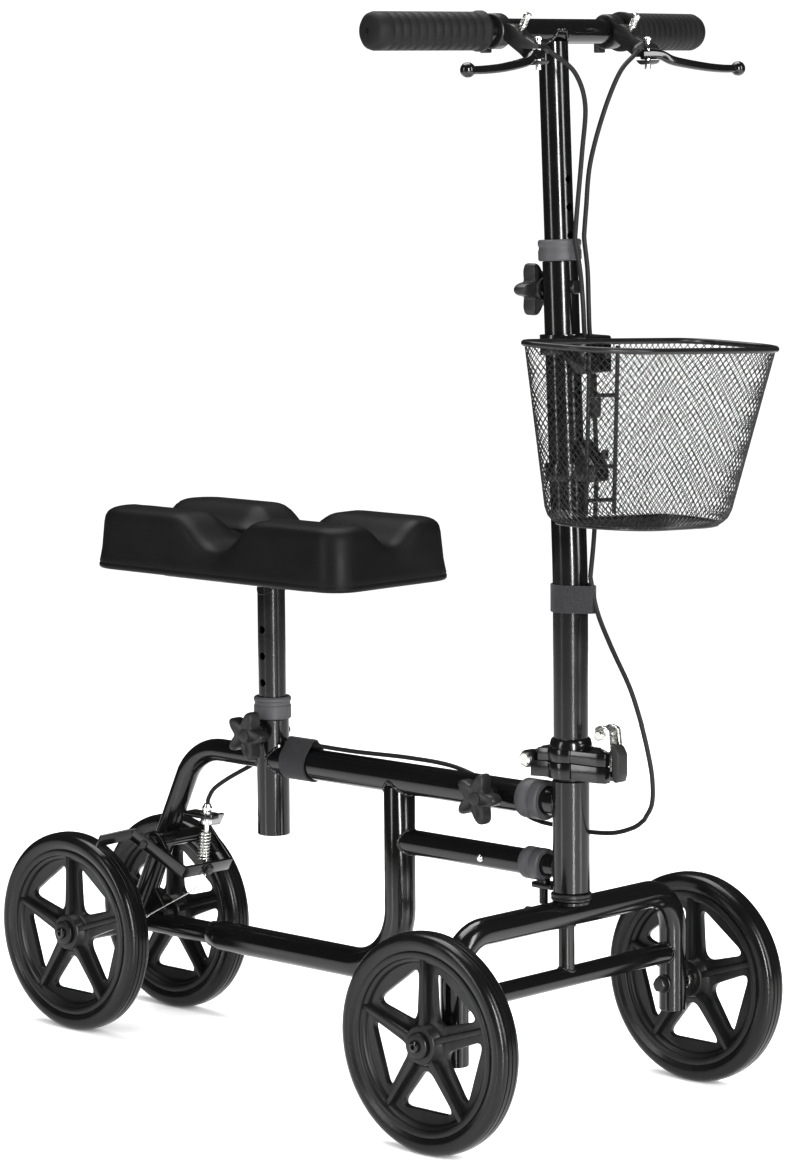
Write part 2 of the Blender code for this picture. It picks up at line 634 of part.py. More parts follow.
def make_stem():
    path = [(0, HEAD_Y, HINGE_TOP_Z + GAP), (0, HEAD_Y, STEM_BEND_Z - 25),
            (0, HEAD_Y + 0.25, STEM_BEND_Z + 12),
            (0, stem_y(STEM_TOP_Z), STEM_TOP_Z)]
    stem = solid("stem_tube", tube(path, STEM_R, STEM_BORE, 20), BLACK_PAINT, "stem_body")
    bolt = rod([(0, stem_y(757) + 5, 757), (0, stem_y(757) + 30, 757)], 4.4, 16)
    cut(stem, "cut_stem_knob_hole", bolt)


def basket_outline(size, inset=0.0, steps=8):
    """Plan of the basket: straight at the back, with wide round front corners."""
    half, rear, front, corner = size
    half -= inset
    rear -= inset
    front += inset
    corner -= inset
    rear_corner = 14.0 - inset
    points = arc((half - rear_corner, rear - rear_corner), rear_corner, 90, 0, 3)
    points += arc((half - corner, front + corner), corner, 0, -90, steps)
    points += arc((corner - half, front + corner), corner, -90, -180, steps)
    points += arc((rear_corner - half, rear - rear_corner), rear_corner, 180, 90, 3)
    return points


def basket_tilt():
    """How the basket is turned about the point it hangs from."""
    hang = Matrix.Translation(Vector(BASKET_HANG))
    roll = Matrix.Rotation(math.radians(BASKET_ROLL), 4, "Y")
    droop = Matrix.Rotation(math.radians(BASKET_DROOP), 4, "X")
    return hang @ roll @ droop @ hang.inverted()


def make_basket():
    """Open basket: drafted wall of constant thickness, floor, and a heavier rim."""
    tilt = basket_tilt()

    def level(size, z, inset):
        return [tilt @ Vector((x, y, z)) for x, y in basket_outline(size, inset)]

    def between(t, z, inset):
        size = tuple(a + (b - a) * t for a, b in zip(BASKET_FLOOR, BASKET_RIM))
        return level(size, z, inset)
    top = BASKET_RIM_Z
    floor = BASKET_FLOOR_Z
    rings = [between(0, floor, 5.0), between(0.02, floor + 3, 0.0),
             between(0.97, top - 5, 0.0), between(1.0, top - 4, -2.5), between(1.0, top, -2.5),
             between(1.0, top, BASKET_WALL + 1.0), between(0.97, top - 5, BASKET_WALL),
             between(0.02, floor + 5, BASKET_WALL), between(0.0, floor + 2, 5.0 + BASKET_WALL)]
    solid("basket", join_rings(rings), BLACK_STEEL, "stem_body")
    stem_axis = [(0, stem_y(560), 560), (0, stem_y(760), 760)]
    band_z = 708.5
    hook = solid("basket_bracket", rod([(0, stem_y(z), z) for z in (band_z - 9, band_z + 9)],
                                       20.5, 20), BLACK_PAINT, "stem_body")
    cut(hook, "join_bracket_lower_band",
        rod([(0, stem_y(z), z) for z in (586, 602)], 19.5, 20), "UNION")
    front_top = BASKET_RIM[1] + 3.2
    arm = [(-12, 717.5), (-34, 717.5), (front_top, 708), (front_top, 700), (-44.2, 640),
           (-46.0, 588), (-14, 588), (-14, 600), (-24, 625), (-24, 680), (-14, 700)]
    cut(hook, "join_bracket_arm", prism(arm, -13, 13), "UNION")
    cut(hook, "cut_bracket_at_stem", clearance(stem_axis, STEM_R))


def make_handlebar():
    low = Vector((0, stem_y(POST_Z[0]), POST_Z[0]))
    high = Vector((0, stem_y(POST_Z[1]), POST_Z[1]))
    post = solid("handlebar_post", tube([low, high], POST_R, 11.2, 20), BLACK_PAINT,
                 "handlebar_body")
    bar_axis = [(-40, BAR_Y, BAR_Z), (40, BAR_Y, BAR_Z)]
    cut(post, "cut_post_at_bar", clearance(bar_axis, BAR_R))
    holes = []
    for i in range(7):
        z = 706.0 + 25.0 * i
        holes.append(rod([(0, stem_y(z) - 20, z), (0, stem_y(z), z)], 3.6, 12))
    cut(post, "cut_post_height_holes", merged(holes))
    end_x, sweep = BAR_END
    bend_out = Vector((BAR_BEND_X + 3.5, BAR_Y + 0.8, BAR_Z))
    tip = Vector((end_x, BAR_Y + sweep, BAR_Z))
    run = (tip - bend_out).normalized()
    half = [tip - run * 4, bend_out, Vector((BAR_BEND_X - 3.5, BAR_Y, BAR_Z))]
    path = [(-p.x, p.y, p.z) for p in half] + half[::-1]
    solid("handlebar_crossbar", rod(path, BAR_R), BLACK_PAINT, "handlebar_body")
    for sign, side in ((-1, "right"), (1, "left")):
        axis = Vector((sign * run.x, run.y, 0))
        end = Vector((sign * end_x, BAR_Y + sweep, BAR_Z))
        profile = [(0, 4.0), (13.5, 4.0), (GRIP_R, 0.5), (GRIP_R, 5.0 - GRIP_LENGTH),
                   (GRIP_R + 1.2, 4.0 - GRIP_LENGTH), (GRIP_R + 1.2, -GRIP_LENGTH),
                   (BAR_R + GAP, -GRIP_LENGTH), (BAR_R + GAP, -3.5), (0, -3.5)]
        solid(f"grip_{side}", lathe(profile, axis, end, 20), RUBBER, "handlebar_body")
        make_brake_lever(sign, side)


def make_brake_lever(sign, side):
    """Clamp and body of a hand lever, with its parking pin, and the blade with its ball."""
    clamp_x = sign * LEVER_CLAMP_X
    clamp = ring(BAR_R + 4.6, BAR_R + GAP, -6.5, 6.5, (1, 0, 0), (clamp_x, BAR_Y, BAR_Z), 20)
    body = solid(f"lever_bracket_{side}", clamp, KNOB_PLASTIC, "handlebar_body")
    pivot_x = sign * LEVER_PIVOT[0]
    arm_outline = [(-2.0, 978), (-2.0, 996), (-18, 993), (-42, 977), (-45, 970), (-44, 957),
                   (-30, 954.5), (-14, 967)]
    ends = sorted((clamp_x - sign * 10, clamp_x + sign * 6))
    cut(body, f"join_lever_body_{side}", prism(arm_outline, ends[0], ends[1]), "UNION")
    pivot_y, pivot_z = LEVER_PIVOT[1:]
    ends = sorted((pivot_x - sign * 7, pivot_x + sign * 40))
    cut(body, f"cut_lever_slot_{side}",
        block((ends[0], -60, pivot_z - 5.0), (ends[1], -24, pivot_z + 5.0)))
    pin = rod([(pivot_x, pivot_y, pivot_z - 8), (pivot_x, pivot_y, pivot_z + 8)], 2.6, 12)
    cut(body, f"join_lever_pin_{side}", pin, "UNION")
    lock = turned([(2.2, 0), (2.2, 16), (3.6, 16), (3.6, 19)], (0, 0, 1), (pivot_x, -20, 980), 12)
    cut(body, f"join_lever_lock_pin_{side}", lock, "UNION")
    ball = Vector((sign * LEVER_BALL[0], LEVER_BALL[1], LEVER_BALL[2]))
    start = Vector((pivot_x, *LEVER_PIVOT[1:]))
    knee = Vector((pivot_x + sign * 26, start.y - 9, start.z - 6))
    path = [start - Vector((sign * 5.5, -2, 0)), start + Vector((sign * 12, -4, -0.4)), knee,
            ball - Vector((sign * 20, -2, 0)), ball]
    blade = solid(f"lever_blade_{side}", rod(path, 4.6, 12), BLACK_PAINT,
                  f"brake_lever_{side}_body")
    cut(blade, f"join_lever_ball_{side}", sphere(ball, 6.6), "UNION")
    cut(blade, f"cut_lever_bore_{side}",
        rod([(pivot_x, pivot_y, pivot_z - 20), (pivot_x, pivot_y, pivot_z + 20)], 2.75, 12))


def sphere(centre, radius, rows=6, sides=12):
    steps = arc((0, 0), radius, -90, 90, rows)
    return turned([(r, z) for r, z in steps[1:-1]], (0, 0, 1), centre, sides)


def make_seat():
    post = solid("seat_post", tube([(0, SEAT_Y, SEAT_POST_Z[0]), (0, SEAT_Y, SEAT_POST_Z[1] + 2)],
                                   SEAT_POST_R, 11.2, 20), BLACK_PAINT, "seat_body")
    plate = block((-50, SEAT_Y - 105, SEAT_POST_Z[1]), (50, SEAT_Y + 105, PAD_Z[0] - GAP))
    cut(post, "join_seat_plate", plate, "UNION")
    holes = []
    for i in range(7):
        z = 262.0 + 26.0 * i
        holes.append(rod([(-20, SEAT_Y, z), (0, SEAT_Y, z)], 3.6, 12))
    cut(post, "cut_seat_height_holes", merged(holes))

    def pad_level(z, inset):
        half = PAD_HALF_WIDTH - inset
        rear, front = PAD_Y[1] - inset, PAD_Y[0] + inset
        corner = PAD_CORNER - inset
        points = []
        for cx, cy, start in ((half - corner, rear - corner, 0), (corner - half, rear - corner, 90),
                              (corner - half, front + corner, 180), (half - corner, front + corner, 270)):
            points += arc((cx, cy), corner, start, start + 90, 4)
        return [Vector((x, y, z)) for x, y in points]
    low, high = PAD_Z
    rings = [pad_level(low, 2.0), pad_level(low + 3, 0.0), pad_level(high - 16, 3.0),
             pad_level(high - 4, 8.0), pad_level(high, 18.0)]
    solid("knee_pad", join_rings(rings), FOAM, "seat_body")


def make_brake():
    """Hat-shaped bar over the rear tyres, its return spring and the cable adjuster."""
    cross_y, cross_z = BRAKE_CROSS
    shoulder_x, shoulder_y, shoulder_z = BRAKE_SHOULDER
    tip_y, tip_z = shoulder_y + 10, shoulder_z - 3.5
    half = [(BRAKE_TIP_X, tip_y, tip_z), (shoulder_x, shoulder_y, shoulder_z),
            (BRAKE_HALF, cross_y, cross_z)]
    path = [Vector((-x, y, z)) for x, y, z in half] + [Vector(p) for p in half[::-1]]
    upright_axis = Vector((0, -0.52, 0.85)).normalized()
    bar = solid("brake_bar", ribbon(path, upright_axis, 7.0, 3.0), BLACK_PAINT, "brake_body")
    for sign, side in ((-1, "right"), (1, "left")):
        ends = sorted((sign * 30.5, sign * 34.0))
        ear = [(BRAKE_PIVOT[1] + y, BRAKE_PIVOT[2] + z) for y, z in
               ((-24, -16), (-14, -20), (0, -9), (9, -3), (9, 6), (2, 10), (-8, 7))]
        cut(bar, f"join_brake_ear_{side}", prism(ear, ends[0], ends[1]), "UNION")
    bore = rod([(-60, *BRAKE_PIVOT[1:]), (60, *BRAKE_PIVOT[1:])], 4.2, 16)
    cut(bar, "cut_brake_bar_bore", bore)

    plate = [(-9, 508), (-9, 470), (-5, 464), (5, 464), (9, 470), (9, 508)]
    stop = solid("cable_stop_plate", prism(plate, 220.0, 225.0, "XY"), BLACK_PAINT, "frame_body")
    cut(stop, "cut_stop_plate_at_upright",
        rod([(0, 492.1, 253), (0, 515.3, 207)], UPRIGHT_R + 0.6, 16))
    adjuster = [(2.4, -20.0), (2.4, -9.0), (5.2, -9.0), (5.2, 9.0), (3.4, 12.0)]
    axis = Vector((0, -0.1, 1)).normalized()
    cut(stop, "cut_stop_plate_bore", rod([(0, 478.6, 200), (0, 475.2, 240)], 5.5, 16))
    solid("cable_adjuster", turned(adjuster, axis, (0, 476.8, 222.5), 16), ZINC, "frame_body")
    spring_low = Vector((0, 483.5, 178.5))
    spring_high = Vector((0, 480.0, 201.8))
    solid("brake_spring", tube([spring_low, spring_high], 4.6, 3.4, 16), ZINC, "frame_body")


def smooth_route(points, per_span=2):
    """A Catmull-Rom curve through the points chosen for a cable."""
    points = [Vector(p) for p in points]
    padded = [points[0] * 2 - points[1]] + points + [points[-1] * 2 - points[-2]]
    route = []
    for i in range(1, len(padded) - 2):
        a, b, c, d = padded[i - 1:i + 3]
        for k in range(per_span):
            t = k / per_span
            route.append(0.5 * (2 * b + (c - a) * t + (2 * a - 5 * b + 4 * c - d) * t ** 2
                                + (3 * b - a - 3 * c + d) * t ** 3))
    route.append(points[-1])
    return route


CABLE_R = 2.5
CABLES = {
    "lever_cable_right": ("handlebar_body", [
        (-64.4, -33.5, 973), (-54, -37, 966), (-30, -40, 950), (-12, -36, 922), (-5, -26, 880),
        (-5, -20, 830), (-5, -17.5, 806)]),
    "lever_cable_left": ("handlebar_body", [
        (64.4, -33.5, 973), (54, -37, 966), (30, -40, 950), (14, -35, 915), (7, -25, 870),
        (7, -20, 830), (7, -17.5, 806)]),
    "stem_cable": ("stem_body", [
        (0, -18, 804), (2, -23, 780), (10, -24, 745), (20, -20, 712), (21, -18, 650),
        (19, -21, 595), (9, -27, 540), (0, -30, 500), (0, -38, 470), (-2, -56, 440),
        (-4, -80, 405), (-4, -93, 375)]),
    "hinge_cable": ("steering_body", [
        (-4, -93.6, 373), (-2, -99, 350), (2, -101, 325), (10, -94, 300), (18, -78, 282)]),
    "head_cable": ("front_frame_body", [
        (18.8, -76.5, 281), (24, -60, 272), (25, -35, 264), (22, -5, 262), (18, 20, 264),
        (14, 40, 266)]),
    "beam_cable": ("frame_body", [
        (13.5, 42, 266), (16, 60, 269), (21, 78, 276), (20, 110, 292), (12, 150, 306),
        (4, 200, 310), (0, 270, 309), (0, 330, 309.5), (16, 360, 307), (22, 382, 300),
        (18, 405, 290), (14, 426, 277), (7, 450, 263), (1, 466, 251), (0, 473.5, 241),
        (0, 475.4, 235.6)]),
}


def make_cables():
    for name, (parent, points) in CABLES.items():
        solid(name, rod(smooth_route(points), CABLE_R, 6), RUBBER, parent)


def make_knee_scooter():
    make_pivots()
    make_main_frame()
    make_collars()
    make_knob("seat_knob", "seat_knob_body", (-1, 0, 0), 3.5)
    make_knob("beam_knob", "beam_knob_body", (-1, 0, 0), 6.5)
    make_knob("stem_knob", "stem_knob_body", (0, 1, 0), 2.5)
    make_front_frame()
    make_steering()
    make_hinge()
    make_stem()
    make_basket()
    make_handlebar()
    make_seat()
    make_brake()
    make_cables()
    for side, sign in (("right", -1), ("left", 1)):
        make_wheel(f"front_wheel_{side}", f"front_wheel_{side}_body",
                   (sign * FRONT_HALF_TRACK, 0, WHEEL_R), sign)
        make_wheel(f"rear_wheel_{side}", f"rear_wheel_{side}_body",
                   (sign * REAR_HALF_TRACK, WHEELBASE, WHEEL_R), sign)


make_knee_scooter()
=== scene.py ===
"""Looks of the knee scooter: every visible surface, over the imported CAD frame.

Shapes are written in millimetres with Y measured from the front axle, as the
CAD is, and `piece` turns them into metres in the frame's own axes.
"""

import math
import random

import bmesh
import bpy
from mathutils import Matrix, Vector

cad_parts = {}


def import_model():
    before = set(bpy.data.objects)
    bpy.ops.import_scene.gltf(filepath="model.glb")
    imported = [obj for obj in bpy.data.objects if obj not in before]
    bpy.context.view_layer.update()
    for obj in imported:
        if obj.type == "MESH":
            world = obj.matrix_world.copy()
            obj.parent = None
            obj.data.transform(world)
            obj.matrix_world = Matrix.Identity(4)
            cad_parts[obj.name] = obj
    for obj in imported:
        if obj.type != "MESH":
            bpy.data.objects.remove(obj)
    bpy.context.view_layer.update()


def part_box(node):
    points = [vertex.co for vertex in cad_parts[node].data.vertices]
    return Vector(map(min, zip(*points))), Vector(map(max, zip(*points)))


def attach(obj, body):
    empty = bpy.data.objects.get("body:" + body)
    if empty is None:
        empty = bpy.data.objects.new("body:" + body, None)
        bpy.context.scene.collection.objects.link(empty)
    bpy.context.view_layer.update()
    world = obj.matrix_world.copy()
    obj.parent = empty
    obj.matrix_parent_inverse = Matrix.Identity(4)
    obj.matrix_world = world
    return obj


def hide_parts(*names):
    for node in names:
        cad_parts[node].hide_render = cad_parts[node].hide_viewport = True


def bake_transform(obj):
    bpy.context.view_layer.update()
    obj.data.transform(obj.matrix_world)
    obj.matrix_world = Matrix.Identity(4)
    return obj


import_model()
random.seed(7)
MM = 0.001
LEFT = (1, 0, 0)
BACK = (0, 1, 0)
UP = (0, 0, 1)


def centre_of(node):
    low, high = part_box(node)
    return (Vector(low) + Vector(high)) / 2


FRONT_AXLE = centre_of("front_wheel_right_tyre")
REAR_AXLE = centre_of("rear_wheel_right_tyre")
AXLE_Y = FRONT_AXLE.y

# ---------------------------------------------------------------- main sizes, from the frame
WHEEL_R = FRONT_AXLE.z / MM
FRONT_TRACK = -FRONT_AXLE.x / MM
REAR_TRACK = -REAR_AXLE.x / MM
WHEELBASE = (REAR_AXLE.y - AXLE_Y) / MM
SPOKES = 5
BEAM_Z = centre_of("main_beam_tube").z / MM
LOWER_Z = centre_of("lower_socket_tube").z / MM
SEAT_Y = (centre_of("seat_tube").y - AXLE_Y) / MM
HEAD_Y = (centre_of("steerer_tube").y - AXLE_Y) / MM
PAD_LOW, PAD_HIGH = (Vector(corner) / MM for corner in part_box("knee_pad"))
BAR_Z = 987.0
STEM_BEND_Z = 500.0
STEM_LEAN = 0.039
STEM_R = 15.9
POST_R = 13.4
BEAM_R = 15.0
LOOP_Z = 103.7
LOOP_RISER_Y = 211.0
LOOP_BEND = 62.0
LOOP_REAR_Y = 470.0
HOOP_Z = 189.0
HOOP_HALF = 150.0
HOOP_BEND = 38.0
HOOP_R = 12.7
BRACE_Z = 129.5
HINGE_PIN_Y = 30.0
HINGE_Z = 331.0
STEM_TOP_Z = 783.0
BRAKE_PIVOT = (0.0, 517.0, 196.0)
SEAT_KNOB_Z = 317
BEAM_KNOB_Y = 78
STEM_KNOB_Z = 757
BEAM_COLLAR_END = 49
LOWER_COLLAR_END = 48


def stem_y(z):
    """Y of the stem's axis at a height."""
    return HEAD_Y + max(0.0, z - STEM_BEND_Z) * STEM_LEAN


BAR_Y = stem_y(BAR_Z)
STEM_DIRECTION = Vector((0, STEM_LEAN, 1)).normalized()


# ---------------------------------------------------------------- materials


NOISE_LOW = 0.35
NOISE_HIGH = 0.65


class Look:
    """A Principled material built from object coordinates and procedural noise."""

    def __init__(self, name, colour, roughness, metallic=0.0, **sockets):
        self.material = bpy.data.materials.new(name)
        self.material.use_nodes = True
        self.tree = self.material.node_tree
        self.shader = self.tree.nodes["Principled BSDF"]
        self.colour = colour
        self.set("Base Color", (*colour, 1))
        self.set("Roughness", roughness)
        self.set("Metallic", metallic)
        for socket, value in sockets.items():
            self.set(socket.replace("_", " "), value)
        self.coordinates = self.tree.nodes.new("ShaderNodeTexCoord").outputs["Object"]
        self.height = None

    def set(self, socket, value):
        self.shader.inputs[socket].default_value = value

    def noise(self, scale, detail=4.0, roughness=0.55, stretch=None):
        source = self.coordinates
        if stretch:
            mapping = self.tree.nodes.new("ShaderNodeMapping")
            mapping.inputs["Scale"].default_value = stretch
            self.tree.links.new(source, mapping.inputs["Vector"])
            source = mapping.outputs["Vector"]
        texture = self.tree.nodes.new("ShaderNodeTexNoise")
        texture.inputs["Scale"].default_value = scale
        texture.inputs["Detail"].default_value = detail
        texture.inputs["Roughness"].default_value = roughness
        self.tree.links.new(source, texture.inputs["Vector"])
        return texture.outputs["Fac"]

    def cells(self, scale, feature="F1"):
        texture = self.tree.nodes.new("ShaderNodeTexVoronoi")
        texture.feature = feature
        texture.inputs["Scale"].default_value = scale
        self.tree.links.new(self.coordinates, texture.inputs["Vector"])
        return texture.outputs["Distance"]

    def spread(self, value, low, high):
        """Map a noise value onto a range."""
        node = self.tree.nodes.new("ShaderNodeMapRange")
        node.inputs["From Min"].default_value = NOISE_LOW
        node.inputs["From Max"].default_value = NOISE_HIGH
        node.inputs["To Min"].default_value = low
        node.inputs["To Max"].default_value = high
        self.tree.links.new(value, node.inputs["Value"])
        return node.outputs["Result"]

    def vary_roughness(self, value, low, high):
        self.tree.links.new(self.spread(value, low, high), self.shader.inputs["Roughness"])
        return self

    def vary_colour(self, value, other):
        ramp = self.tree.nodes.new("ShaderNodeValToRGB")
        ramp.color_ramp.elements[0].position = NOISE_LOW
        ramp.color_ramp.elements[0].color = (*self.colour, 1)
        ramp.color_ramp.elements[1].position = NOISE_HIGH
        ramp.color_ramp.elements[1].color = (*other, 1)
        self.tree.links.new(value, ramp.inputs["Fac"])
        self.tree.links.new(ramp.outputs["Color"], self.shader.inputs["Base Color"])
        return self

    def bump(self, value, depth, strength=1.0):
        """Raise the surface by a value; a second call goes on top of the first."""
        node = self.tree.nodes.new("ShaderNodeBump")
        node.inputs["Strength"].default_value = strength
        node.inputs["Distance"].default_value = depth
        self.tree.links.new(value, node.inputs["Height"])
        if self.height:
            self.tree.links.new(self.height, node.inputs["Normal"])
        self.height = node.outputs["Normal"]
        self.tree.links.new(self.height, self.shader.inputs["Normal"])
        return self


def black_paint():
    look = Look("gloss_black_paint", (0.004, 0.004, 0.0042), 0.15, Specular_IOR_Level=0.42)
    look.vary_roughness(look.noise(22, 5), 0.12, 0.20)
    return look.bump(look.noise(420, 2), 0.00004, 0.5).material


def satin_black(name="satin_black_steel", colour=(0.010, 0.010, 0.0105)):
    look = Look(name, colour, 0.35, 0.2, Specular_IOR_Level=0.4)
    look.vary_roughness(look.noise(60, 4), 0.28, 0.42)
    return look.bump(look.noise(900, 2), 0.00003, 0.5).material


def rubber(name, colour, grain, depth):
    look = Look(name, colour, 0.62, Specular_IOR_Level=0.2)
    look.vary_roughness(look.noise(40, 4), 0.52, 0.68)
    look.vary_colour(look.noise(14, 5), tuple(c * 1.35 for c in colour))
    return look.bump(look.noise(grain, 3), depth, 0.6).material


def moulded_plastic(name, colour, roughness=0.42):
    look = Look(name, colour, roughness, Specular_IOR_Level=0.26)
    look.vary_roughness(look.noise(30, 3), roughness - 0.06, roughness + 0.08)
    look.vary_colour(look.noise(9, 4), tuple(c * 1.2 for c in colour))
    return look.bump(look.cells(1500), 0.00005, 0.5).material


def foam_skin():
    look = Look("foam_skin", (0.0042, 0.0042, 0.0045), 0.46, Specular_IOR_Level=0.12)
    look.vary_roughness(look.noise(25, 4), 0.42, 0.54)
    look.vary_colour(look.noise(8, 5), (0.0058, 0.0058, 0.006))
    look.bump(look.cells(700, "SMOOTH_F1"), 0.00012, 0.6)
    return look.bump(look.noise(160, 4), 0.00010, 0.4).material


def zinc():
    look = Look("zinc_plate", (0.62, 0.62, 0.60), 0.26, 1.0)
    look.vary_roughness(look.noise(300, 3), 0.18, 0.36)
    return look.bump(look.noise(500, 2, stretch=(1, 1, 0.08)), 0.00003, 0.5).material


def strap_weave():
    look = Look("hook_and_loop", (0.012, 0.012, 0.013), 0.9, Specular_IOR_Level=0.25,
                Sheen_Weight=0.12, Sheen_Roughness=0.4)
    look.vary_colour(look.noise(900, 3), (0.026, 0.026, 0.028))
    look.bump(look.noise(1400, 4), 0.0004, 0.9)
    return look.material


PAINT = black_paint()
BLACK_STEEL = satin_black()
WIRE_BLACK = satin_black("basket_coating", (0.008, 0.008, 0.0085))
TYRE = moulded_plastic("tyre_polyurethane", (0.0045, 0.0045, 0.0048), 0.22)
GRIP = rubber("grip_rubber", (0.0055, 0.0055, 0.006), 800, 0.00010)
SHEATH = rubber("cable_sheath", (0.008, 0.008, 0.008), 600, 0.00003)
WHEEL_PLASTIC = moulded_plastic("wheel_plastic", (0.0065, 0.0065, 0.007), 0.34)
KNOB_PLASTIC = moulded_plastic("knob_plastic", (0.012, 0.012, 0.0125), 0.42)
COLLAR_PLASTIC = moulded_plastic("collar_plastic", (0.043, 0.043, 0.045), 0.5)
FOAM = foam_skin()
ZINC = zinc()
STRAP = strap_weave()


# ---------------------------------------------------------------- shapes, in millimetres


def arc(centre, radius, start, end, steps):
    points = []
    for i in range(steps + 1):
        a = math.radians(start + (end - start) * i / steps)
        points.append((centre[0] + radius * math.cos(a), centre[1] + radius * math.sin(a)))
    return points


def across(direction):
    helper = Vector(LEFT) if abs(direction.x) < 0.9 else Vector(BACK)
    side = direction.cross(helper).normalized()
    return side, direction.cross(side).normalized()


def sweep_rings(path, radius, sides):
    """Circles square to a path; radius may be a function of the point's number."""
    path = [Vector(p) for p in path]
    first = (path[1] - path[0]).normalized()
    side = across(first)[0]
    rings = []
    for i, point in enumerate(path):
        before = (point - path[i - 1]).normalized() if i else first
        after = (path[i + 1] - point).normalized() if i + 1 < len(path) else before
        plane = (before + after).normalized()
        side = (side - before * side.dot(before)).normalized()
        other = before.cross(side)
        size = radius(i) if callable(radius) else radius
        ring = []
        for k in range(sides):
            a = math.tau * (k + 0.5) / sides
            spoke = side * (size * math.cos(a)) + other * (size * math.sin(a))
            spoke -= before * (spoke.dot(plane) / before.dot(plane))
            ring.append(point + spoke)
        rings.append(ring)
    return rings


def join_rings(rings, closed_ends=True, loop=False):
    verts = [v for ring in rings for v in ring]
    count = len(rings[0])
    faces = []
    for i in range(len(rings) if loop else len(rings) - 1):
        a = i * count
        b = ((i + 1) % len(rings)) * count
        for k in range(count):
            n = (k + 1) % count
            faces.append((a + k, a + n, b + n, b + k))
    if closed_ends:
        faces.append(tuple(range(count)))
        faces.append(tuple(range(len(verts) - count, len(verts))))
    return verts, faces


def rod(path, radius, sides=48):
    return join_rings(sweep_rings(path, radius, sides))


def split_long(path, reach=15.0):
    """The same path with its long straight runs cut into short ones."""
    points = [Vector(path[0])]
    for end in path[1:]:
        start = points[-1]
        count = max(1, int((Vector(end) - start).length / reach))
        for i in range(1, count + 1):
            points.append(start.lerp(Vector(end), i / count))
    return points


def tube(path, radius, bore, sides=48):
    """A tube whose two lips are rounded off."""
    path = split_long(path)
    lip = 0.5
    start = (path[1] - path[0]).normalized() * lip
    end = (path[-1] - path[-2]).normalized() * lip
    inner_path = [path[0] + start] + path[1:-1] + [path[-1] - end]
    outer = sweep_rings(inner_path, radius, sides)
    inner = sweep_rings(inner_path, bore, sides)
    face = [sweep_rings([path[0], path[1]], radius - lip, sides)[0],
            sweep_rings([path[-2], path[-1]], radius - lip, sides)[-1]]
    back = [sweep_rings([path[0], path[1]], bore + lip / 2, sides)[0],
            sweep_rings([path[-2], path[-1]], bore + lip / 2, sides)[-1]]
    if len(path) > 2:
        face[1] = align(face[1], outer[-1])
        back[1] = align(back[1], outer[-1])
    return join_rings([face[0]] + outer + [face[1], back[1]] + inner[::-1] + [back[0]],
                      closed_ends=False, loop=True)


def align(ring, like):
    """Start a ring at the point nearest to another ring's start."""
    nearest = min(range(len(ring)), key=lambda k: (ring[k] - like[0]).length)
    turned_on = ring[nearest:] + ring[:nearest]
    if (turned_on[1] - like[1]).length > (turned_on[-1] - like[1]).length:
        turned_on = [turned_on[0]] + turned_on[:0:-1]
    return turned_on


def lathe(profile, axis, centre, sides=64):
    """Turn a closed outline of (radius, place along the axis)."""
    axis = Vector(axis).normalized()
    side, other = across(axis)
    verts = []
    rows = []
    for radius, along in profile:
        base = Vector(centre) + axis * along
        if radius == 0:
            rows.append([len(verts)] * sides)
            verts.append(base)
            continue
        rows.append(list(range(len(verts), len(verts) + sides)))
        for k in range(sides):
            a = math.tau * (k + 0.5) / sides
            verts.append(base + side * (radius * math.cos(a)) + other * (radius * math.sin(a)))
    faces = []
    for i, row in enumerate(rows):
        following = rows[(i + 1) % len(rows)]
        if row[0] == row[1] and following[0] == following[1]:
            continue
        for k in range(sides):
            n = (k + 1) % sides
            face = []
            for index in (row[k], row[n], following[n], following[k]):
                if index not in face:
                    face.append(index)
            faces.append(tuple(face))
    return verts, faces


def turned(steps, axis, centre, sides=64):
    return lathe([(0, steps[0][1])] + steps + [(0, steps[-1][1])], axis, centre, sides)


def prism(outline, start, end, plane="YZ"):
    verts = []
    for depth in (start, end):
        for u, v in outline:
            verts.append(Vector({"YZ": (depth, u, v), "XZ": (u, depth, v), "XY": (u, v, depth)}[plane]))
    n = len(outline)
    faces = [tuple(range(n)), tuple(range(n, 2 * n))]
    for k in range(n):
        m = (k + 1) % n
        faces.append((k, m, n + m, n + k))
    return verts, faces


def block(low, high):
    outline = [(low[1], low[2]), (high[1], low[2]), (high[1], high[2]), (low[1], high[2])]
    return prism(outline, low[0], high[0])


def merged(shapes):
    verts = []
    faces = []
    for some_verts, some_faces in shapes:
        start = len(verts)
        verts += some_verts
        faces += [tuple(start + i for i in face) for face in some_faces]
    return verts, faces


def moved(shape, matrix):
    return [matrix @ Vector(v) for v in shape[0]], shape[1]


def rounded(outline, radius, steps=4):
    """The outline with each corner turned into an arc."""
    points = []
    count = len(outline)
    for i, corner in enumerate(outline):
        corner = Vector(corner)
        back = (Vector(outline[i - 1]) - corner)
        on = (Vector(outline[(i + 1) % count]) - corner)
        reach = min(radius, back.length * 0.45, on.length * 0.45)
        start = corner + back.normalized() * reach
        end = corner + on.normalized() * reach
        for k in range(steps + 1):
            t = k / steps
            points.append(tuple(start * (1 - t) ** 2 + corner * (2 * t * (1 - t)) + end * t ** 2))
    return points


def spread_evenly(outline, count):
    """Points at even distances round a closed outline."""
    closed = [Vector(p) for p in outline + outline[:1]]
    lengths = [0.0]
    for a, b in zip(closed, closed[1:]):
        lengths.append(lengths[-1] + (b - a).length)
    even = []
    at = 0
    for i in range(count):
        wanted = lengths[-1] * i / count
        while lengths[at + 1] < wanted:
            at += 1
        part = (wanted - lengths[at]) / max(1e-9, lengths[at + 1] - lengths[at])
        even.append(closed[at].lerp(closed[at + 1], part))
    return even


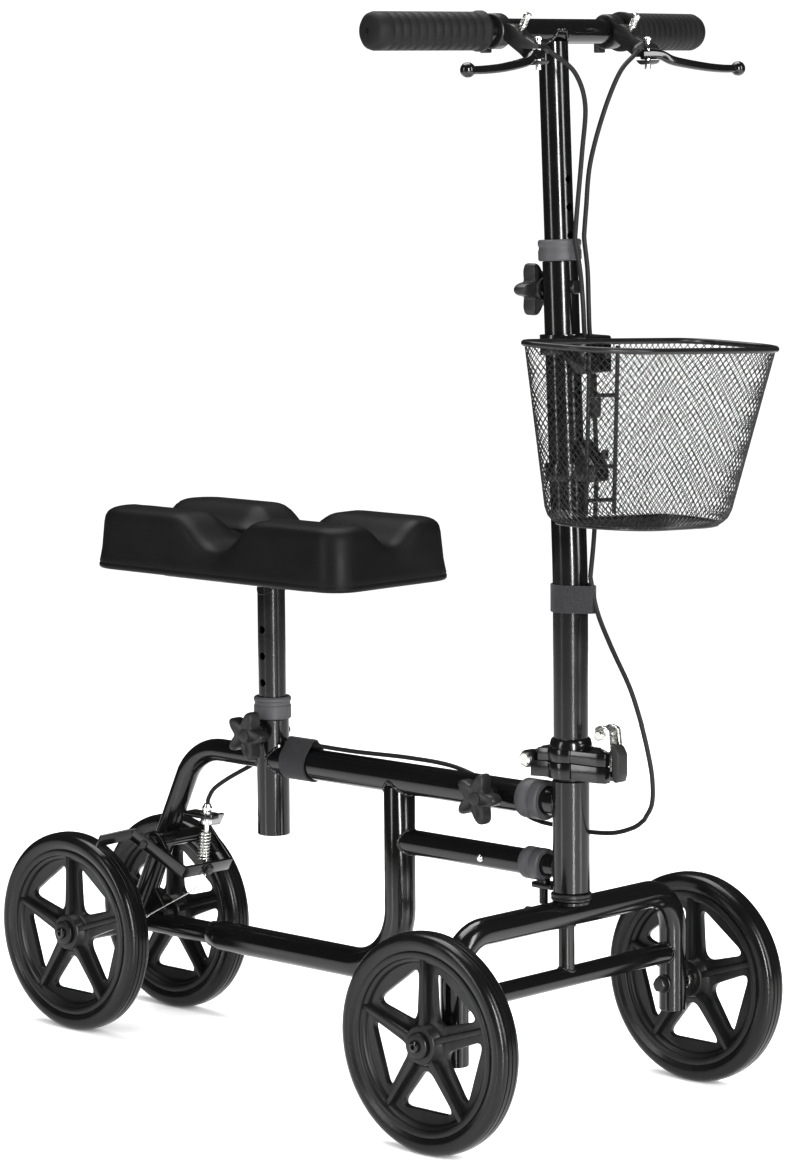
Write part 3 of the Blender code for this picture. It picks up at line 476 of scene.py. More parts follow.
def smooth_route(points, per_span=8):
    """A Catmull-Rom curve through the points chosen for a cable."""
    points = [Vector(p) for p in points]
    padded = [points[0] * 2 - points[1]] + points + [points[-1] * 2 - points[-2]]
    route = []
    for i in range(1, len(padded) - 2):
        a, b, c, d = padded[i - 1:i + 3]
        for k in range(per_span):
            t = k / per_span
            route.append(0.5 * (2 * b + (c - a) * t + (2 * a - 5 * b + 4 * c - d) * t ** 2
                                + (3 * b - a - 3 * c + d) * t ** 3))
    route.append(points[-1])
    return route


# ---------------------------------------------------------------- pieces


def add_object(name, data):
    made = bpy.data.objects.new(name, data)
    bpy.context.scene.collection.objects.link(made)
    return made


def world(point):
    return (Vector(point) + Vector((0, AXLE_Y / MM, 0))) * MM


def mesh_of(name, shape):
    mesh = bpy.data.meshes.new(name)
    mesh.from_pydata([world(v) for v in shape[0]], [], shape[1])
    mesh.update()
    shaper = bmesh.new()
    shaper.from_mesh(mesh)
    bmesh.ops.recalc_face_normals(shaper, faces=shaper.faces)
    shaper.to_mesh(mesh)
    shaper.free()
    return mesh


def piece(name, shape, look, body, replaces=(), bevel=0.0, angle=35, cuts=(), joins=(), segments=2):
    """One visible object: shaped, cut, rounded, painted and riding on its body."""
    made = add_object(name, mesh_of(name, shape))
    helpers = []
    for operation, shapes in (("UNION", joins), ("DIFFERENCE", cuts)):
        for other in shapes:
            helper = add_object("helper", mesh_of("helper", other))
            step = made.modifiers.new("shape", "BOOLEAN")
            step.operation = operation
            step.solver = "EXACT"
            step.object = helper
            helpers.append(helper)
    if helpers:
        settle(made)
        for helper in helpers:
            bpy.data.objects.remove(helper, do_unlink=True)
    if bevel:
        edge = made.modifiers.new("rounding", "BEVEL")
        edge.width = bevel * MM
        edge.segments = segments
        edge.limit_method = "ANGLE"
        edge.angle_limit = math.radians(angle)
        settle(made)
    for polygon in made.data.polygons:
        polygon.use_smooth = True
    made.data.set_sharp_from_angle(angle=math.radians(angle))
    made.data.materials.clear()
    made.data.materials.append(look)
    if body:
        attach(made, body)
    if replaces:
        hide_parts(*replaces)
    return made


def settle(obj):
    """Keep the shape that the modifiers give, and drop the modifiers."""
    bpy.context.view_layer.update()
    graph = bpy.context.evaluated_depsgraph_get()
    mesh = bpy.data.meshes.new_from_object(obj.evaluated_get(graph))
    obj.modifiers.clear()
    obj.data = mesh


def weld(name, centre, direction, onto, radius, onto_radius, body, bead=1.5):
    """A rippled bead where a round tube meets the side of another."""
    direction = Vector(direction).normalized()
    onto = Vector(onto).normalized()
    square = direction.cross(onto).normalized()
    other = direction.cross(square).normalized()
    steps = 120
    path = []
    for i in range(steps):
        a = math.tau * i / steps
        offset = square * (radius * math.cos(a)) + other * (radius * math.sin(a))
        reach = math.sqrt(max(0.0, onto_radius ** 2 - (radius * math.cos(a)) ** 2))
        path.append(Vector(centre) + offset + direction * reach)
    middle = sum(path, Vector()) / steps
    rings = []
    for i, point in enumerate(path):
        along = (path[(i + 1) % steps] - path[i - 1]).normalized()
        out = (point - middle - along * (point - middle).dot(along)).normalized()
        up = along.cross(out)
        size = bead * (1 + 0.16 * math.sin(math.tau * i / 5) + random.uniform(-0.06, 0.06))
        rings.append([point + out * (size * math.cos(t)) + up * (size * math.sin(t))
                      for t in (math.tau * k / 8 for k in range(8))])
    return piece(name, join_rings(rings, closed_ends=False, loop=True), PAINT, body, angle=80)


def screw_head(name, place, axis, radius, height, body, look=None, sides=6, socket=True):
    """A bolt head: hexagonal with chamfered corners, or round with a hexagon socket."""
    look = look or BLACK_STEEL
    axis = Vector(axis).normalized()
    if sides == 6:
        shape = turned([(radius, 0), (radius, height * 0.82), (radius * 0.86, height)], axis, place, 6)
        cap = turned([(radius * 0.82, height - 0.2), (radius * 0.74, height + 0.4)], axis, place, 32)
        return piece(name, merged([shape, cap]), look, body, bevel=0.25)
    steps = [(radius, 0), (radius, height * 0.45), (radius * 0.9, height * 0.8), (radius * 0.62, height)]
    cuts = ()
    if socket:
        cuts = (turned([(radius * 0.42, height * 0.35), (radius * 0.42, height * 1.5)], axis, place, 6),)
    return piece(name, turned(steps, axis, place, 40), look, body, cuts=cuts, bevel=0.2)


def washer(name, place, axis, radius, thickness, body, look=None):
    steps = [(radius, 0), (radius, thickness * 0.7), (radius - 0.4, thickness)]
    return piece(name, turned(steps, axis, place, 48), look or BLACK_STEEL, body)


# ---------------------------------------------------------------- main frame


def frame_tubes():
    seat_cut = rod([(0, SEAT_Y, 150), (0, SEAT_Y, 420)], 15.2)
    knob_hole = rod([(-30, BEAM_KNOB_Y, BEAM_Z), (0, BEAM_KNOB_Y, BEAM_Z)], 4.2, 24)
    piece("beam", tube([(0, 33, BEAM_Z), (0, SEAT_Y - 3, BEAM_Z)], BEAM_R, 13.4), PAINT, "frame",
          ["main_beam_tube"], cuts=[seat_cut, knob_hole])
    knob_hole = rod([(-30, SEAT_Y, SEAT_KNOB_Z), (0, SEAT_Y, SEAT_KNOB_Z)], 4.2, 24)
    piece("seat_socket", tube([(0, SEAT_Y, 216), (0, SEAT_Y, 330)], 15.9, 13.8), PAINT, "frame",
          ["seat_tube"], cuts=[knob_hole])
    piece("lower_socket", tube([(0, 33, LOWER_Z), (0, LOOP_RISER_Y - 4, LOWER_Z)], 12.0, 10.3),
          PAINT, "frame", ["lower_socket_tube"],
          cuts=[rod([(-20, 96, LOWER_Z - 1), (20, 96, LOWER_Z - 1)], 4.0, 28)])
    button = turned([(3.6, 0), (3.5, 1.4), (2.9, 2.5), (1.6, 3.2), (0.3, 3.4)], (-1, 0, 0),
                    (-11.4, 96, LOWER_Z - 1), 32)
    piece("socket_button", button, ZINC, "frame")
    rivet = turned([(2.3, 0), (2.2, 0.9), (1.2, 1.5), (0.2, 1.6)], (-0.37, -0.93, 0),
                   (-5.8, SEAT_Y - 14.7, 304), 28)
    piece("seat_rivet", rivet, ZINC, "frame")
    rear_upright()
    loop_tube()
    weld("weld_beam_seat", (0, SEAT_Y, BEAM_Z), (0, -1, 0), UP, BEAM_R, 15.9, "frame")
    weld("weld_upright_seat", (0, SEAT_Y, BEAM_Z), BACK, UP, 11.1, 15.9, "frame")
    weld("weld_riser_beam", (0, LOOP_RISER_Y, BEAM_Z), (0, 0, -1), BACK, 14.8, BEAM_R, "frame")
    weld("weld_lower_riser", (0, LOOP_RISER_Y, LOWER_Z), (0, -1, 0), UP, 12.0, BEAM_R, "frame")


def upright_path(steps=20):
    foot = Vector((0, WHEELBASE - 24.0, WHEEL_R + 18.0))
    lean = math.degrees(math.atan2(foot.y - 503.0, 232.0 - foot.z))
    bend = 58.0
    centre_y = 503.0 - bend * math.cos(math.radians(lean))
    corner = arc((centre_y, BEAM_Z - bend), bend, 90, lean, steps)
    return [(0, SEAT_Y + 3, BEAM_Z)] + [(0, y, z) for y, z in corner] + [foot]


def rear_upright():
    path = upright_path()
    piece("rear_upright", rod(path, 11.1), PAINT, "frame", ["rear_upright_tube"],
          cuts=[rod([(0, SEAT_Y, 150), (0, SEAT_Y, 420)], 15.2)])
    run = (Vector(path[-1]) - Vector(path[-2])).normalized()
    weld("weld_upright_axle", (0, WHEELBASE, WHEEL_R), -run, LEFT, 11.1, 12.6, "frame", 1.8)
    gusset = rounded([(536, 118), (560, 110), (590, 112), (574, 140), (560, 150)], 4)
    piece("axle_gusset", prism(gusset, -2.2, 2.2), PAINT, "frame", bevel=0.6)
    pin = turned([(5.6, -38.3), (6.5, -37.6), (6.5, -34.4), (4.0, -34.4), (4.0, 34.4), (6.5, 34.4),
                  (6.5, 37.6), (5.6, 38.3)], LEFT, BRAKE_PIVOT, 6)
    shank = turned([(4.0, -34.4), (4.0, 34.4)], LEFT, BRAKE_PIVOT, 32)
    piece("brake_pivot", merged([pin, shank]), BLACK_STEEL, "frame", ["brake_pivot_bolt"], bevel=0.3)
    sleeve = turned([(7.4, -30.2), (7.4, 30.2)], LEFT, BRAKE_PIVOT, 40)
    piece("brake_pivot_sleeve", sleeve, PAINT, "frame", bevel=0.4)


def loop_tube():
    bend = arc((LOOP_RISER_Y + LOOP_BEND, LOOP_Z + LOOP_BEND), LOOP_BEND, 180, 270, 22)
    path = [(0, LOOP_RISER_Y, BEAM_Z - 8)] + [(0, y, z) for y, z in bend]
    path += [(0, LOOP_REAR_Y - 16, LOOP_Z), (0, LOOP_REAR_Y, LOOP_Z)]
    last = len(path) - 1
    loop = rod(path, lambda i: 12.2 if i == last else 14.9)
    tail = rod([(0, LOOP_REAR_Y - 20, LOOP_Z + 0.8), (0, WHEELBASE, LOOP_Z + 0.8)], 10.8)
    piece("frame_loop", loop, PAINT, "frame", ["frame_loop_tube"],
          cuts=[rod([(0, 100, BEAM_Z), (0, 300, BEAM_Z)], 14.0)], bevel=0.8)
    piece("loop_tail", tail, PAINT, "frame",
          cuts=[rod([(-40, WHEELBASE, WHEEL_R), (40, WHEELBASE, WHEEL_R)], 12.0)])
    weld("weld_tail_axle", (0, WHEELBASE, WHEEL_R + 2), (0, -1, 0), LEFT, 10.8, 12.6, "frame")
    weld("weld_tail_loop", (0, LOOP_REAR_Y - 26, LOOP_Z + 0.6), BACK, UP, 11.3, 26.0,
         "frame", 1.2)
    screw_head("tail_bolt", (0, 536, LOOP_Z + 10.5), UP, 5.5, 4.5, "frame")
    axle = [(11.6, -55.4), (12.7, -54.4), (12.7, 54.4), (11.6, 55.4)]
    piece("rear_axle_housing", turned(axle, LEFT, (0, WHEELBASE, WHEEL_R)), PAINT, "frame",
          ["rear_axle_tube"])


def tube_collars():
    """Moulded end collars, each with a clamp rib."""
    beam = [(17.2, -27.0), (18.4, -25.6), (18.4, -17), (17.7, -16), (17.7, -13), (18.4, -12),
            (18.4, -2), (17.0, 0.0), (BEAM_R + 0.1, 0.0), (BEAM_R + 0.1, -16.2), (13.4, -16.3),
            (13.4, -27.0)]
    piece("beam_collar", lathe(beam, BACK, (0, BEAM_COLLAR_END, BEAM_Z)), COLLAR_PLASTIC, "frame",
          ["beam_front_collar"])
    lower = [(14.0, -24.0), (15.0, -22.8), (15.0, -15), (14.3, -14), (14.3, -11), (15.0, -10),
             (15.0, -2), (13.8, 0.0), (12.1, 0.0), (12.1, -15.2), (10.5, -15.3), (10.5, -24.0)]
    piece("lower_collar", lathe(lower, BACK, (0, LOWER_COLLAR_END, LOWER_Z)), COLLAR_PLASTIC, "frame",
          ["lower_front_collar"])
    seat = [(17.0, 330.2), (18.2, 331.2), (18.2, 343), (17.4, 344), (17.4, 347), (18.2, 348),
            (18.2, 350.6), (17.0, 352), (13.7, 352), (13.7, 330.2)]
    piece("seat_collar", lathe(seat, UP, (0, SEAT_Y, 0)), COLLAR_PLASTIC, "frame",
          ["seat_clamp_collar"])
    stem = [(18.3, 0.0), (19.5, 1.2), (19.5, 9), (18.8, 10), (18.8, 13), (19.5, 14), (19.5, 17.6),
            (18.2, 19.0), (13.75, 19.0), (13.75, 0.0)]
    piece("stem_collar", lathe(stem, STEM_DIRECTION, (0, stem_y(STEM_TOP_Z), STEM_TOP_Z + 0.3)),
          COLLAR_PLASTIC, "stem", ["stem_top_collar"])


def star_knob(name, node, body, place, axis, stud):
    """Five-lobed knob: dished face, rounded lobes, plastic insert and threaded stud."""
    lobes = 5
    steps = 90
    rings = []
    for along, scale in ((6.0, 0.90), (6.8, 0.975), (8.4, 1.0), (16.4, 1.0), (18.6, 0.975),
                         (19.7, 0.91), (20, 0.82), (19.5, 0.66), (18.6, 0.5)):
        ring = []
        for i in range(steps):
            a = math.tau * i / steps
            wave = 0.5 + 0.5 * math.cos(lobes * a)
            radius = (13.2 + 11.3 * wave ** 1.15) * scale
            ring.append(Vector((radius * math.cos(a), radius * math.sin(a), along)))
        rings.append(ring)
    matrix = Matrix.Translation(Vector(place)) @ Vector(axis).to_track_quat("Z", "Y").to_matrix().to_4x4()
    piece(name, moved(join_rings(rings), matrix), KNOB_PLASTIC, body, [node], angle=40)
    neck = turned([(10.5, 1.2), (10.8, 2.2), (10.2, 6.5), (9.6, 7)], UP, (0, 0, 0), 48)
    piece(f"{name}_neck", moved(neck, matrix), KNOB_PLASTIC, body)
    turns = []
    for i in range(int((stud + 2) / 0.5)):
        turns.append((3.75 if i % 2 else 3.3, -stud + 0.5 * i))
    piece(f"{name}_stud", moved(turned(turns, UP, (0, 0, 0), 24), matrix), ZINC, body, angle=20)
    insert = turned([(6.4, 18.2), (6.4, 19.2), (5.6, 19.5)], UP, (0, 0, 0), 48)
    piece(f"{name}_insert", moved(insert, matrix), KNOB_PLASTIC, body)


def knobs():
    star_knob("seat_height_knob", "seat_knob", "seat_knob_body", (-21, SEAT_Y, SEAT_KNOB_Z), (-1, 0, 0), 3)
    star_knob("beam_clamp_knob", "beam_knob", "beam_knob_body", (-20.5, BEAM_KNOB_Y, BEAM_Z), (-1, 0, 0), 6)
    star_knob("stem_clamp_knob", "stem_knob", "stem_knob_body", (0, stem_y(STEM_KNOB_Z) + 17, STEM_KNOB_Z),
              BACK, 2)
    screw_head("seat_clamp_nut", (15.6, SEAT_Y, SEAT_KNOB_Z), LEFT, 6.0, 3.6, "frame")
    boss = turned([(8.5, 0), (8.5, 4.2), (7.4, 5.0)], (-1, 0, 0), (-15.2, SEAT_Y, SEAT_KNOB_Z), 40)
    piece("seat_clamp_boss", boss, PAINT, "frame")
    boss = turned([(8.5, 0), (8.5, 4.2), (7.4, 5.0)], (-1, 0, 0), (-14.4, BEAM_KNOB_Y, BEAM_Z), 40)
    piece("beam_clamp_boss", boss, PAINT, "frame")
    boss = turned([(8.5, 0), (8.5, 1.2), (7.4, 1.8)], BACK,
                  (0, stem_y(STEM_KNOB_Z) + 15.2, STEM_KNOB_Z), 40)
    piece("stem_clamp_boss", boss, PAINT, "stem")
    screw_head("stem_front_bolt", (0, stem_y(760) - 15.4, 760), (0, -1, 0), 7.0, 4.4, "stem", BLACK_STEEL)


# ---------------------------------------------------------------- wheels


def wheel(name, node, body, centre, outward):
    """Moulded wheel: deep rim channel, web with five windows, raised ribs and hub; ribbed tyre."""
    centre = Vector(centre)
    axis = Vector((outward, 0, 0))
    crown = []
    for along, radius in ((-12.7, 92.5), (-12.4, 94.6), (-11.0, 97.2), (-8.6, 98.9), (-6.0, 99.6),
                          (-5.4, 99.65), (-5.0, 98.9), (-4.6, 98.9), (-4.2, 99.9), (-0.8, 100.0),
                          (-0.4, 99.2), (0.4, 99.2), (0.8, 100.0), (4.2, 99.9), (4.6, 98.9),
                          (5.0, 98.9), (5.4, 99.65), (6.0, 99.6), (8.6, 98.9), (11.0, 97.2),
                          (12.4, 94.6), (12.7, 92.5), (12.7, 88.6), (12.2, 87.4), (10.8, 83.4),
                          (-10.8, 83.4), (-12.2, 87.4), (-12.7, 88.6)):
        crown.append((radius, along))
    piece(f"{name}_tread", lathe(crown, axis, centre, 128), TYRE, body, [f"{node}_tyre"], angle=50)
    face = [(83.3, 11.6), (82.6, 12.2), (78.2, 12.0), (77.2, 11.2), (76.6, 8.6), (74.4, 8.0),
            (73.6, 7.2), (72.6, 3.8), (71.4, 3.2), (60, 3.2), (30, 3.2), (22, 3.6), (19.5, 5.5),
            (17.6, 11.8), (16.8, 12.9), (4.25, 12.9)]
    rim = [(83.3, 0)] + face + [(radius, -along) for radius, along in face[::-1]]
    windows = [wheel_window(centre, i) for i in range(SPOKES)]
    disc = piece(f"{name}_disc", lathe(rim, axis, centre, 120), WHEEL_PLASTIC, body,
                 [f"{node}_rim"], cuts=windows, bevel=0.7, angle=38)
    ribs = []
    for i in range(SPOKES):
        turn = math.radians(90 + i * 360 / SPOKES)
        for face in (1, -1):
            ribs.append(wheel_rib(centre, turn, face))
    piece(f"{name}_ribs", merged(ribs), WHEEL_PLASTIC, body, bevel=0.55)
    return disc


def wheel_window(centre, index):
    """A triangular gap with round corners; one spoke points straight up."""
    middle = 90 + (index + 0.5) * 360 / SPOKES
    half = 180 / SPOKES
    corners = [(20.0, 0.0), (70.0, half - 7.0), (70.0, 7.0 - half)]
    outline = []
    for radius, turn in corners:
        a = math.radians(middle + turn)
        outline.append((radius * math.cos(a), radius * math.sin(a)))
    points = []
    for y, z in rounded(outline, 13.0, 8):
        points.append((centre.y + y, centre.z + z))
    return prism(points, centre.x - 20, centre.x + 20)


def wheel_rib(centre, turn, face):
    """A thin standing rib down the middle of a spoke, on one face of the web."""
    out = Vector((0, math.cos(turn), math.sin(turn)))
    side = Vector((0, -math.sin(turn), math.cos(turn)))
    rings = []
    for radius, height, width in ((15, 11.2, 2.9), (24, 10.0, 2.6), (60, 9.4, 2.3), (78.0, 9.4, 2.3)):
        base = centre + out * radius
        low = Vector((face * 2.0, 0, 0))
        high = Vector((face * height, 0, 0))
        rings.append([base + low - side * (width + 0.9), base + low + side * (width + 0.9),
                      base + high + side * width, base + high - side * width])
    return join_rings(rings)


def hub_end(name, place, sign, body):
    """Axle end outside a wheel: plastic washer cap and a domed bolt."""
    cap = [(11.5, 0.2), (11.9, 1.0), (11.9, 3.0), (10.6, 4.4), (7.6, 4.8)]
    piece(f"{name}_cap", turned(cap, (sign, 0, 0), place, 64), WHEEL_PLASTIC, body, bevel=0.2)
    start = Vector(place) + Vector((sign * 4.6, 0, 0))
    screw_head(f"{name}_bolt", start, (sign, 0, 0), 5.6, 3.8, body, PAINT, 32)


def wheels_and_axles():
    for side, sign in (("right", -1), ("left", 1)):
        front = (sign * FRONT_TRACK, 0, WHEEL_R)
        wheel(f"front_{side}", f"front_wheel_{side}", f"front_wheel_{side}", front, sign)
        rear = (sign * REAR_TRACK, WHEELBASE, WHEEL_R)
        wheel(f"rear_{side}", f"rear_wheel_{side}", f"rear_wheel_{side}", rear, sign)
        shaft = [(3.9, -48.0), (3.9, -19.8), (8.8, -19.8), (9.0, -19.2), (9.0, -14.0), (8.6, -13.4),
                 (3.9, -13.4), (3.9, 13.3)]
        piece(f"front_axle_{side}", turned(shaft, (sign, 0, 0), front, 40), ZINC, "steering",
              [f"front_axle_bolt_{side}"])
        inner = Vector(front) - Vector((sign * 46.2, 0, 0))
        washer(f"front_axle_washer_{side}", inner, (-sign, 0, 0), 9.0, 1.6, "steering")
        screw_head(f"front_axle_nut_{side}", inner - Vector((sign * 1.6, 0, 0)), (-sign, 0, 0), 7.4,
                   6.4, "steering")
        hub_end(f"front_axle_end_{side}", Vector(front) + Vector((sign * 13.1, 0, 0)), sign, "steering")
        hub_end(f"rear_axle_end_{side}", Vector(rear) + Vector((sign * 13.1, 0, 0)), sign, "frame")
    rod_steps = [(4.0, -82.0), (4.0, 82.0)]
    piece("rear_axle", turned(rod_steps, LEFT, (0, WHEELBASE, WHEEL_R), 40), ZINC, "frame",
          ["rear_axle_rod"])


# ---------------------------------------------------------------- front frame and steering


def front_frame():
    head = [(15.2, 209.6), (17.0, 210.6), (17.0, 312.4), (16.0, 313.4), (14.6, 313.4), (14.6, 209.6)]
    piece("head", lathe(head, UP, (0, HEAD_Y, 0)), PAINT, "front_frame", ["head_tube"])
    for name, node, z, radius in (("upper_stub", "upper_stub_tube", BEAM_Z, 13.0),
                                  ("lower_stub", "lower_stub_tube", LOWER_Z, 10.0)):
        piece(name, tube([(0, HEAD_Y + 4, z), (0, 150, z)], radius, radius - 2), PAINT, "front_frame",
              [node], cuts=[rod([(0, HEAD_Y, 150), (0, HEAD_Y, 350)], 16.0)])
        weld(f"weld_{name}", (0, HEAD_Y, z), BACK, UP, radius, 17.0, "front_frame")
    bearing = [(17.6, 202.4), (18.6, 203.4), (18.6, 204.6), (17.9, 205.2), (18.6, 205.8),
               (18.6, 208.3), (17.8, 209.2), (14.6, 209.2), (14.6, 202.4)]
    piece("lower_bearing", lathe(bearing, UP, (0, HEAD_Y, 0)), BLACK_STEEL, "front_frame",
          ["head_bearing"])
    tab = rounded([(-9, 9.5), (9, 9.5), (9, 34), (6, 38), (-6, 38), (-9, 34)], 3)
    piece("steer_stop_tab", prism(tab, 209.8, 214.2, "XY"), PAINT, "front_frame", bevel=0.5)
    pin = [(3.4, 194.0), (4.0, 194.8), (4.0, 209), (6.2, 209.2), (6.2, 216.4), (5.2, 217.4)]
    piece("steer_stop_pin", turned(pin, UP, (0, 28, 0), 40), BLACK_STEEL, "front_frame")


def steering():
    piece("steerer", tube([(0, HEAD_Y, 199.8), (0, HEAD_Y, 315.8)], 14.0, 11.6), BLACK_STEEL,
          "steering", ["steerer_tube"])
    corner = arc((HOOP_HALF - HOOP_BEND, HOOP_Z - HOOP_BEND), HOOP_BEND, 0, 90, 18)
    half = [(HOOP_HALF, 74.0)] + corner
    path = [(x, 0, z) for x, z in half] + [(-x, 0, z) for x, z in half[::-1]]
    bolt = rod([(-180, 0, WHEEL_R), (180, 0, WHEEL_R)], 4.3, 24)
    piece("front_hoop", tube(path, HOOP_R, 10.8), PAINT, "steering", ["front_hoop_tube"], cuts=[bolt])
    legs = [rod([(s * HOOP_HALF, 0, 90), (s * HOOP_HALF, 0, 170)], 12.2) for s in (-1, 1)]
    brace = rod([(-HOOP_HALF, 0, BRACE_Z), (HOOP_HALF, 0, BRACE_Z)], 9.4)
    ends = [block((s * HOOP_HALF - 12, -20, 110), (s * HOOP_HALF + 12, 20, 150)) for s in (-1, 1)]
    piece("brace", brace, PAINT, "steering", ["hoop_brace"], cuts=legs + ends)
    piece("strut", rod([(0, 0, BRACE_Z + 6), (0, 0, HOOP_Z - 9)], 7.4), PAINT, "steering")
    weld("weld_strut_top", (0, 0, HOOP_Z), (0, 0, -1), LEFT, 7.4, HOOP_R, "steering", 1.3)
    weld("weld_strut_low", (0, 0, BRACE_Z), UP, LEFT, 7.4, 9.4, "steering", 1.3)
    for sign, side in ((-1, "right"), (1, "left")):
        weld(f"weld_brace_{side}", (sign * HOOP_HALF, 0, BRACE_Z), (-sign, 0, 0), UP, 9.4,
             HOOP_R, "steering", 1.4)
        ear = [(sign * x, y) for x, y in ((26, 11.6), (34, 11.6), (33, 22), (27, 25), (25, 18))]
        piece(f"steer_stop_ear_{side}", prism(ear, 188, 196.4, "XY"), PAINT, "steering", bevel=0.6)
    crown = [(15.4, 198.5), (17.4, 199.2), (17.4, 201.4), (16.4, 202.1)]
    piece("hoop_crown", turned(crown, UP, (0, HEAD_Y, 0)), PAINT, "steering")


def hinge():
    """Two cast halves round the tube, rear pin, eyebolt clamp and its cam lever."""
    lower_plan = hinge_plan(21.5, -56.8, 24.0)
    middle = block((-11.4, 14.5, 300), (11.4, 60, 360))
    slot = block((-4.3, -80, 300), (4.3, -43.5, 360))
    bore = rod([(-40, HINGE_PIN_Y, HINGE_Z), (40, HINGE_PIN_Y, HINGE_Z)], 4.1, 32)
    knuckle = turned([(8.0, -20), (8.0, 20)], LEFT, (0, HINGE_PIN_Y, HINGE_Z), 48)
    tongue = turned([(7.5, -10.8), (7.5, 10.8)], LEFT, (0, HINGE_PIN_Y, HINGE_Z), 48)
    piece("hinge_base", prism(lower_plan, 316.2, 330.6, "XY"), PAINT, "steering",
          ["hinge_lower_half"], joins=[knuckle], cuts=[middle, slot, bore], bevel=1.0)
    upper_plan = hinge_plan(21.0, -56.8, 20.0)
    sides = [block((10.9, 17, 300), (30, 60, 360)), block((-30, 17, 300), (-10.9, 60, 360))]
    piece("hinge_cap", prism(upper_plan, 331.3, 343.0, "XY"), PAINT, "stem",
          ["hinge_upper_half"], joins=[tongue], cuts=sides + [slot, bore], bevel=1.0)
    neck = [(19.3, 341.5), (19.3, 346), (18.2, 350.5), (16.4, 352.3)]
    piece("hinge_neck", turned(neck, UP, (0, HEAD_Y, 0)), PAINT, "stem")
    pin = [(5.2, -24.0), (6.5, -23.0), (6.5, -20.4), (3.9, -20.4), (3.9, 20.4), (6.5, 20.4),
           (6.5, 23.0), (5.2, 24.0)]
    piece("fold_pin", turned(pin, LEFT, (0, HINGE_PIN_Y, HINGE_Z), 40), ZINC, "steering",
          ["hinge_pin"])
    thread = [(3.4 if i % 2 else 3.0, 326 + 0.6 * i) for i in range(37)]
    nut = turned([(6.6, 343.7), (6.6, 347.4)], UP, (0, -51.5, 0), 6)
    bolt = turned(thread, UP, (0, -51.5, 0), 24)
    piece("clamp_eyebolt", merged([bolt, nut]), ZINC, "stem", ["hinge_eyebolt"], bevel=0.15, angle=20)
    latch()


def hinge_plan(half, front, rear):
    """Plan of a hinge half: round about the head axis, with a lug at each end."""
    right = arc((0, HEAD_Y), half, -38, 38, 10)
    outline = [(11.0, front)] + [(14.5, front + 8), (15.5, HEAD_Y - 13)] + right
    outline += [(half, rear)]
    mirrored = [(-x, y) for x, y in outline[::-1]]
    return outline + mirrored


def latch():
    """Zinc cam fork on a cross pin, and the black handle that hangs from it."""
    cheek = rounded([(-61, 344.5), (-52, 345.5), (-41.5, 353), (-42, 365), (-48, 368.3), (-58, 366)], 3.0)
    for sign in (-1, 1):
        ends = sorted((sign * 4.6, sign * 8.8))
        name = "left" if sign > 0 else "right"
        made = prism(cheek, ends[0], ends[1])
        piece(f"latch_cheek_{name}", made, ZINC, "latch",
              ["hinge_latch_lever"] if sign > 0 else (), bevel=0.6)
    pin = turned([(3.6, -11.2), (4.4, -10.6), (4.4, -9.0), (3.2, -9.0), (3.2, 9.0), (4.4, 9.0),
                  (4.4, 10.6), (3.6, 11.2)], LEFT, (0, -48, 359), 32)
    piece("latch_pin", pin, ZINC, "latch")
    handle = rounded([(-57.5, 351), (-56, 345), (-60.6, 340), (-60.6, 324), (-62.4, 317.3),
                      (-66.4, 317.3), (-68.4, 324), (-68.4, 343), (-64, 350)], 2.2)
    piece("latch_handle", prism(handle, -7, 7), KNOB_PLASTIC, "latch", bevel=1.6, segments=3)


# ---------------------------------------------------------------- stem and handlebar


def stem():
    path = [(0, HEAD_Y, 351.5)]
    for i in range(9):
        z = STEM_BEND_Z - 24 + 6 * i
        lean = max(0.0, (z - (STEM_BEND_Z - 24)) / 48) ** 2 * 48 * STEM_LEAN / 2
        path.append((0, HEAD_Y + lean, z))
    path.append((0, stem_y(STEM_TOP_Z), STEM_TOP_Z))
    axis_y = stem_y(STEM_KNOB_Z)
    holes = [rod([(0, axis_y + 5, STEM_KNOB_Z), (0, axis_y + 30, STEM_KNOB_Z)], 4.3, 24)]
    piece("stem_outer", tube(path, STEM_R, 14.0), PAINT, "stem", ["stem_tube"], cuts=holes)
    strap_band("stem_strap", (0, 0, 480), UP, 25, strap_outline((0, HEAD_Y), STEM_R, (0, -30)),
               "stem")


def strap_outline(tube_centre, tube_radius, cable_centre):
    """Plan of a strap pulled round a tube and a cable: two arcs and their tangents."""
    tube_centre = Vector(tube_centre)
    cable_centre = Vector(cable_centre)
    apart = cable_centre - tube_centre
    swing = math.acos((tube_radius + 1.0 - 4.0) / apart.length)
    facing = math.atan2(apart.y, apart.x)
    points = []
    for i in range(33):
        a = facing + swing + (math.tau - 2 * swing) * i / 32
        points.append(tube_centre + Vector((math.cos(a), math.sin(a))) * (tube_radius + 0.5))
    for i in range(13):
        a = facing - swing + 2 * swing * i / 12
        points.append(cable_centre + Vector((math.cos(a), math.sin(a))) * 3.6)
    return points


def strap_band(name, centre, axis, width, outline, body):
    """A woven strap of 1.7 mm round a tube and the cable beside it."""
    centre = Vector(centre)
    axis = Vector(axis)
    inner = []
    outer = []
    count = len(outline)
    for i, point in enumerate(outline):
        along = (outline[(i + 1) % count] - outline[i - 1]).normalized()
        out = Vector((along.y, -along.x))
        inner.append(point)
        outer.append(point + out * 1.7)
    if axis.z:
        place = lambda p, h: Vector((p.x, p.y, centre.z + h))
    else:
        place = lambda p, h: Vector((p.x, centre.y + h, p.y))
    rings = []
    for edge, rim in ((-0.5, inner), (-0.5, outer), (-0.46, outer), (0.46, outer), (0.5, outer),
                      (0.5, inner)):
        rings.append([place(p, edge * width) for p in rim])
    return piece(name, join_rings(rings, closed_ends=False, loop=True), STRAP, body, bevel=0.4)


